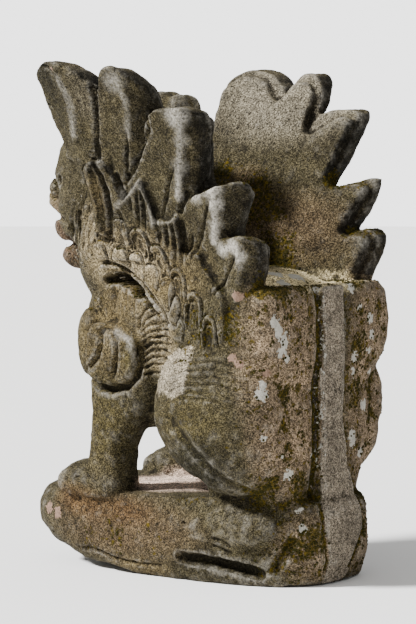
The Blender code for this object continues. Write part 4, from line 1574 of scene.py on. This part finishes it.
def painted(tree, name, colour=False):
    node = add(tree, "ShaderNodeAttribute", attribute_name=name)
    return node.outputs["Color" if colour else "Fac"]


def patch(tree, vector, amount, size, sharpness):
    return use(tree, PATCH_GROUP, Vector=vector, Amount=amount, Size=size, Sharpness=sharpness)["Mask"]


print("shader groups:", GRAIN_GROUP.name, PATCH_GROUP.name, WORN_GROUP.name)

# %% The weathered stone
PALE_WEAR = (0.560, 0.525, 0.455, 1)
CLOUD_GREY = (0.046, 0.037, 0.020, 1)
BAND_GREY = (0.150, 0.125, 0.092, 1)
# grime in the pits, and dirt with painted shade in the hollows
GRIME_AND_SHADE = (0.009, 0.0075, 0.0045, 1)
CRYSTAL = (0.23, 0.215, 0.18, 1)
MOSS_DARK = (0.022, 0.020, 0.003, 1)
MOSS_GOLD = (0.110, 0.074, 0.004, 1)
CRUST_WHITE = (0.46, 0.44, 0.38, 1)
CHIP_PINK = (0.26, 0.165, 0.12, 1)
FINE_GRAIN = 0.0019          # sizes of the grain, and of the patches' broken edges, in metres
COARSE_GRAIN = 0.0085
WEAR_GRAIN = 0.0035
PATCH_EDGE = 0.006
DIRT_SHADE_EDGE = 0.008
SPLIT_EDGE = 0.012
SPECULAR = 0.09
RELIEF = {"Strength": 0.85, "Distance": 0.0022}


def stone_material(material):
    material.use_nodes = True
    tree = material.node_tree
    shader = tree.nodes["Principled BSDF"]
    vector = add(tree, "ShaderNodeTexCoord").outputs["Object"]
    grain = use(tree, GRAIN_GROUP, Vector=vector, Size=FINE_GRAIN)
    coarse = use(tree, GRAIN_GROUP, Vector=vector, Size=COARSE_GRAIN)
    # the stone itself: its tint, in clouds, with grain, pits and crystals
    cloud = spread(tree, noise(tree, vector, 14.0, 4.0, 0.6), 0.42, 0.66, 0.0, 0.35)
    colour = blend(tree, cloud, painted(tree, "tint", True), CLOUD_GREY)
    stains = spread(tree, noise(tree, vector, 26.0, 3.0), 0.3, 0.7, 0.7, 1.3)
    shade = reckon(tree, "MULTIPLY", grain["Tone"], stains)
    tone = tree.nodes.new("ShaderNodeCombineColor")
    for socket in tone.inputs[:3]:
        tree.links.new(shade, socket)
    colour = blend(tree, 1.0, colour, tone.outputs[0], "MULTIPLY")
    split = patch(tree, vector, reckon(tree, "MULTIPLY", painted(tree, "split"), 1.1), SPLIT_EDGE, 0.15)
    grey = blend(tree, 1.0, BAND_GREY, tone.outputs[0], "MULTIPLY")
    colour = blend(tree, split, colour, grey)
    colour = over(tree, colour, grain["Crystals"], 0.55, CRYSTAL)
    colour = over(tree, colour, grain["Pits"], 0.5, GRIME_AND_SHADE)
    colour = over(tree, colour, coarse["Pits"], 0.35, GRIME_AND_SHADE)
    # dirt and painted shade in hollows, wear on ridges and tips, fresh breaks
    dirt_and_shade = patch(tree, vector, painted(tree, "hollow"), DIRT_SHADE_EDGE, 0.45)
    colour = over(tree, colour, dirt_and_shade, 0.80, GRIME_AND_SHADE)
    wear = use(tree, WORN_GROUP, Vector=vector, Worn=painted(tree, "worn"), Grain=WEAR_GRAIN)["Mask"]
    colour = over(tree, colour, wear, 0.70, PALE_WEAR)
    chip = patch(tree, vector, painted(tree, "chip"), PATCH_EDGE, 0.1)
    colour = over(tree, colour, chip, 0.8, CHIP_PINK)
    # growth
    gold = spread(tree, noise(tree, vector, 150.0, 3.0, 0.7), 0.40, 0.62)
    moss = patch(tree, vector, painted(tree, "moss"), PATCH_EDGE, 0.14)
    colour = over(tree, colour, moss, 0.85, blend(tree, gold, MOSS_DARK, MOSS_GOLD))
    crust = patch(tree, vector, reckon(tree, "MULTIPLY", painted(tree, "crust"), 1.05), PATCH_EDGE, 0.05)
    colour = blend(tree, crust, colour, CRUST_WHITE)
    tree.links.new(colour, shader.inputs["Base Color"])
    # roughness and relief
    rough = spread(tree, grain["Tone"], 0.3, 1.8, 0.98, 0.74)
    rough = reckon(tree, "SUBTRACT", rough, reckon(tree, "MULTIPLY", wear, 0.08))
    tree.links.new(reckon(tree, "MAXIMUM", rough, moss), shader.inputs["Roughness"])
    shader.inputs["Specular IOR Level"].default_value = SPECULAR
    height = grain["Height"]
    for relief, share in ((coarse["Height"], 1.2), (crust, 0.35), (moss, reckon(tree, "ADD", gold, 0.2))):
        height = reckon(tree, "ADD", height, reckon(tree, "MULTIPLY", relief, share))
    bump = add(tree, "ShaderNodeBump", {"Height": height, **RELIEF})
    tree.links.new(bump.outputs[0], shader.inputs["Normal"])


stone_material(STONE)
print("stone nodes:", len(STONE.node_tree.nodes))

# %% [markdown]
# ## A light skin inside the frame's box
# The dressed skin has far more triangles than it needs on its plain parts. Decimate joins them
# where the surface is flat and keeps them along ribs and rims. Then the skin is set where the
# plain solid stands, and trimmed flush where a finer edge would pass the solid's box.

# %% Thin, place and trim
# the plain solid is centred on its box, but the notches are counted from the withers, in metres
SOLID_SHIFT = 0.0135
SKIN_GAP = 1e-5


def thinned(mesh, budget):
    lump = in_scene("thin", mesh)
    split = lump.modifiers.new("triangles", "TRIANGULATE")
    split.quad_method = "BEAUTY"
    lighter = lump.modifiers.new("thin", "DECIMATE")
    count = sum(len(p.vertices) - 2 for p in mesh.polygons)
    lighter.ratio = min(1.0, budget / count)
    light = built(lump)
    bpy.data.objects.remove(lump)
    return light


def trim(mesh, places):
    """Sets the points in their places, but keeps each inside the box of the plain solid."""
    low = np.array(CAD_LOW) + SKIN_GAP
    high = np.array(CAD_HIGH) - SKIN_GAP
    write_places(mesh, np.clip(places, low, high))
    return ((places < low) | (places > high)).any(axis=1).sum()


carved = thinned(stone_mesh, TRIANGLES)
print("painted:", paint(carved))
in_metres = read_vectors(carved.vertices, "co") * NOTCH + (0, SOLID_SHIFT, 0)
print("points trimmed:", trim(carved, in_metres))
carved.name = "lion_stone"
for face in carved.polygons:
    face.use_smooth = True
lion = in_scene("lion_stone", carved)
carved.materials.clear()
carved.materials.append(STONE)
print("triangles:", len(carved.polygons))

# %% [markdown]
# ## Moss pads
# The moss of the photograph stands off the stone in small round pads. They could be bumps in the
# material, but pads catch the light on their own. A Geometry Nodes tree scatters low pads over the
# painted moss, and breaks their spread with the same noise as the material, so both agree.

# %% Scatter the pads
PAD_DENSITY = 90000.0        # pads on a square metre of full moss
PAD_SIZE = 0.0015
PAD_SIZES = (0.55, 1.5)      # least and greatest share of that size
PAD_FLATNESS = 0.7
PAD_GRAIN = 0.0012


def pads_tree():
    tree = start_tree("moss pads", (("Density", "Float", PAD_DENSITY), ("Size", "Float", PAD_SIZE),
                                    ("Patch", "Float", PATCH_EDGE), ("Seed", "Int", SEED),
                                    ("Material", "Material", None)))
    given = tree.nodes.new("NodeGroupInput").outputs
    moss = add(tree, "GeometryNodeInputNamedAttribute", {"Name": "moss"}, data_type="FLOAT").outputs[0]
    place = tree.nodes.new("GeometryNodeInputPosition").outputs[0]
    overgrown = spread(tree, broken(tree, place, given["Patch"], moss), 0.56, 0.72)
    density = reckon(tree, "MULTIPLY", overgrown, given["Density"])
    points = add(tree, "GeometryNodeDistributePointsOnFaces",
                 {"Mesh": given["Guide"], "Density": density, "Seed": given["Seed"]})
    pad = add(tree, "GeometryNodeMeshIcoSphere", {"Radius": 1.0, "Subdivisions": 1})
    sizes = add(tree, "FunctionNodeRandomValue",
                {2: PAD_SIZES[0], 3: PAD_SIZES[1], "Seed": given["Seed"]}, data_type="FLOAT")
    size = reckon(tree, "MULTIPLY", sizes.outputs[1], given["Size"])
    flat = add(tree, "ShaderNodeCombineXYZ",
               {"X": size, "Y": size, "Z": reckon(tree, "MULTIPLY", size, PAD_FLATNESS)})
    placed = add(tree, "GeometryNodeInstanceOnPoints",
                 {"Points": points.outputs["Points"], "Instance": pad.outputs["Mesh"],
                  "Rotation": points.outputs["Rotation"], "Scale": flat.outputs[0]})
    close_tree(tree, placed.outputs[0], given["Material"])
    return tree


PAD_MOSS = bpy.data.materials.new("moss")
PAD_SHADE = (0.012, 0.010, 0.003, 1)


def moss_material(material):
    material.use_nodes = True
    tree = material.node_tree
    shader = tree.nodes["Principled BSDF"]
    vector = add(tree, "ShaderNodeTexCoord").outputs["Object"]
    gold = patch(tree, vector, 0.42, 0.007, 0.5)
    grain = use(tree, GRAIN_GROUP, Vector=vector, Size=PAD_GRAIN)
    colour = blend(tree, gold, MOSS_DARK, MOSS_GOLD)
    colour = blend(tree, spread(tree, grain["Tone"], 0.3, 1.4, 0.6, 0.0), colour, PAD_SHADE)
    tree.links.new(colour, shader.inputs["Base Color"])
    tree.links.new(spread(tree, grain["Tone"], 0.3, 1.6, 1.0, 0.85), shader.inputs["Roughness"])
    shader.inputs["Specular IOR Level"].default_value = 0.1
    bump = add(tree, "ShaderNodeBump", {"Height": grain["Height"], "Strength": 0.8, "Distance": 0.0008})
    tree.links.new(bump.outputs[0], shader.inputs["Normal"])


moss_material(PAD_MOSS)
ground = in_scene("ground", carved.copy())
pads_mesh = grown(pads_tree(), ground, Density=PAD_DENSITY, Size=PAD_SIZE, Patch=PATCH_EDGE,
                  Seed=SEED, Material=PAD_MOSS)
pads_mesh.name = "moss_pads"
trim(pads_mesh, read_vectors(pads_mesh.vertices, "co"))
for name in (*POINT_VALUES, "tint"):
    if name in pads_mesh.attributes:
        pads_mesh.attributes.remove(pads_mesh.attributes[name])
moss_pads = in_scene("moss_pads", pads_mesh)
print("triangles of moss:", len(pads_mesh.polygons))

# %% Join the stone and its moss to the frame
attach(lion, "root")
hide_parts(NODE)
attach(moss_pads, "root")
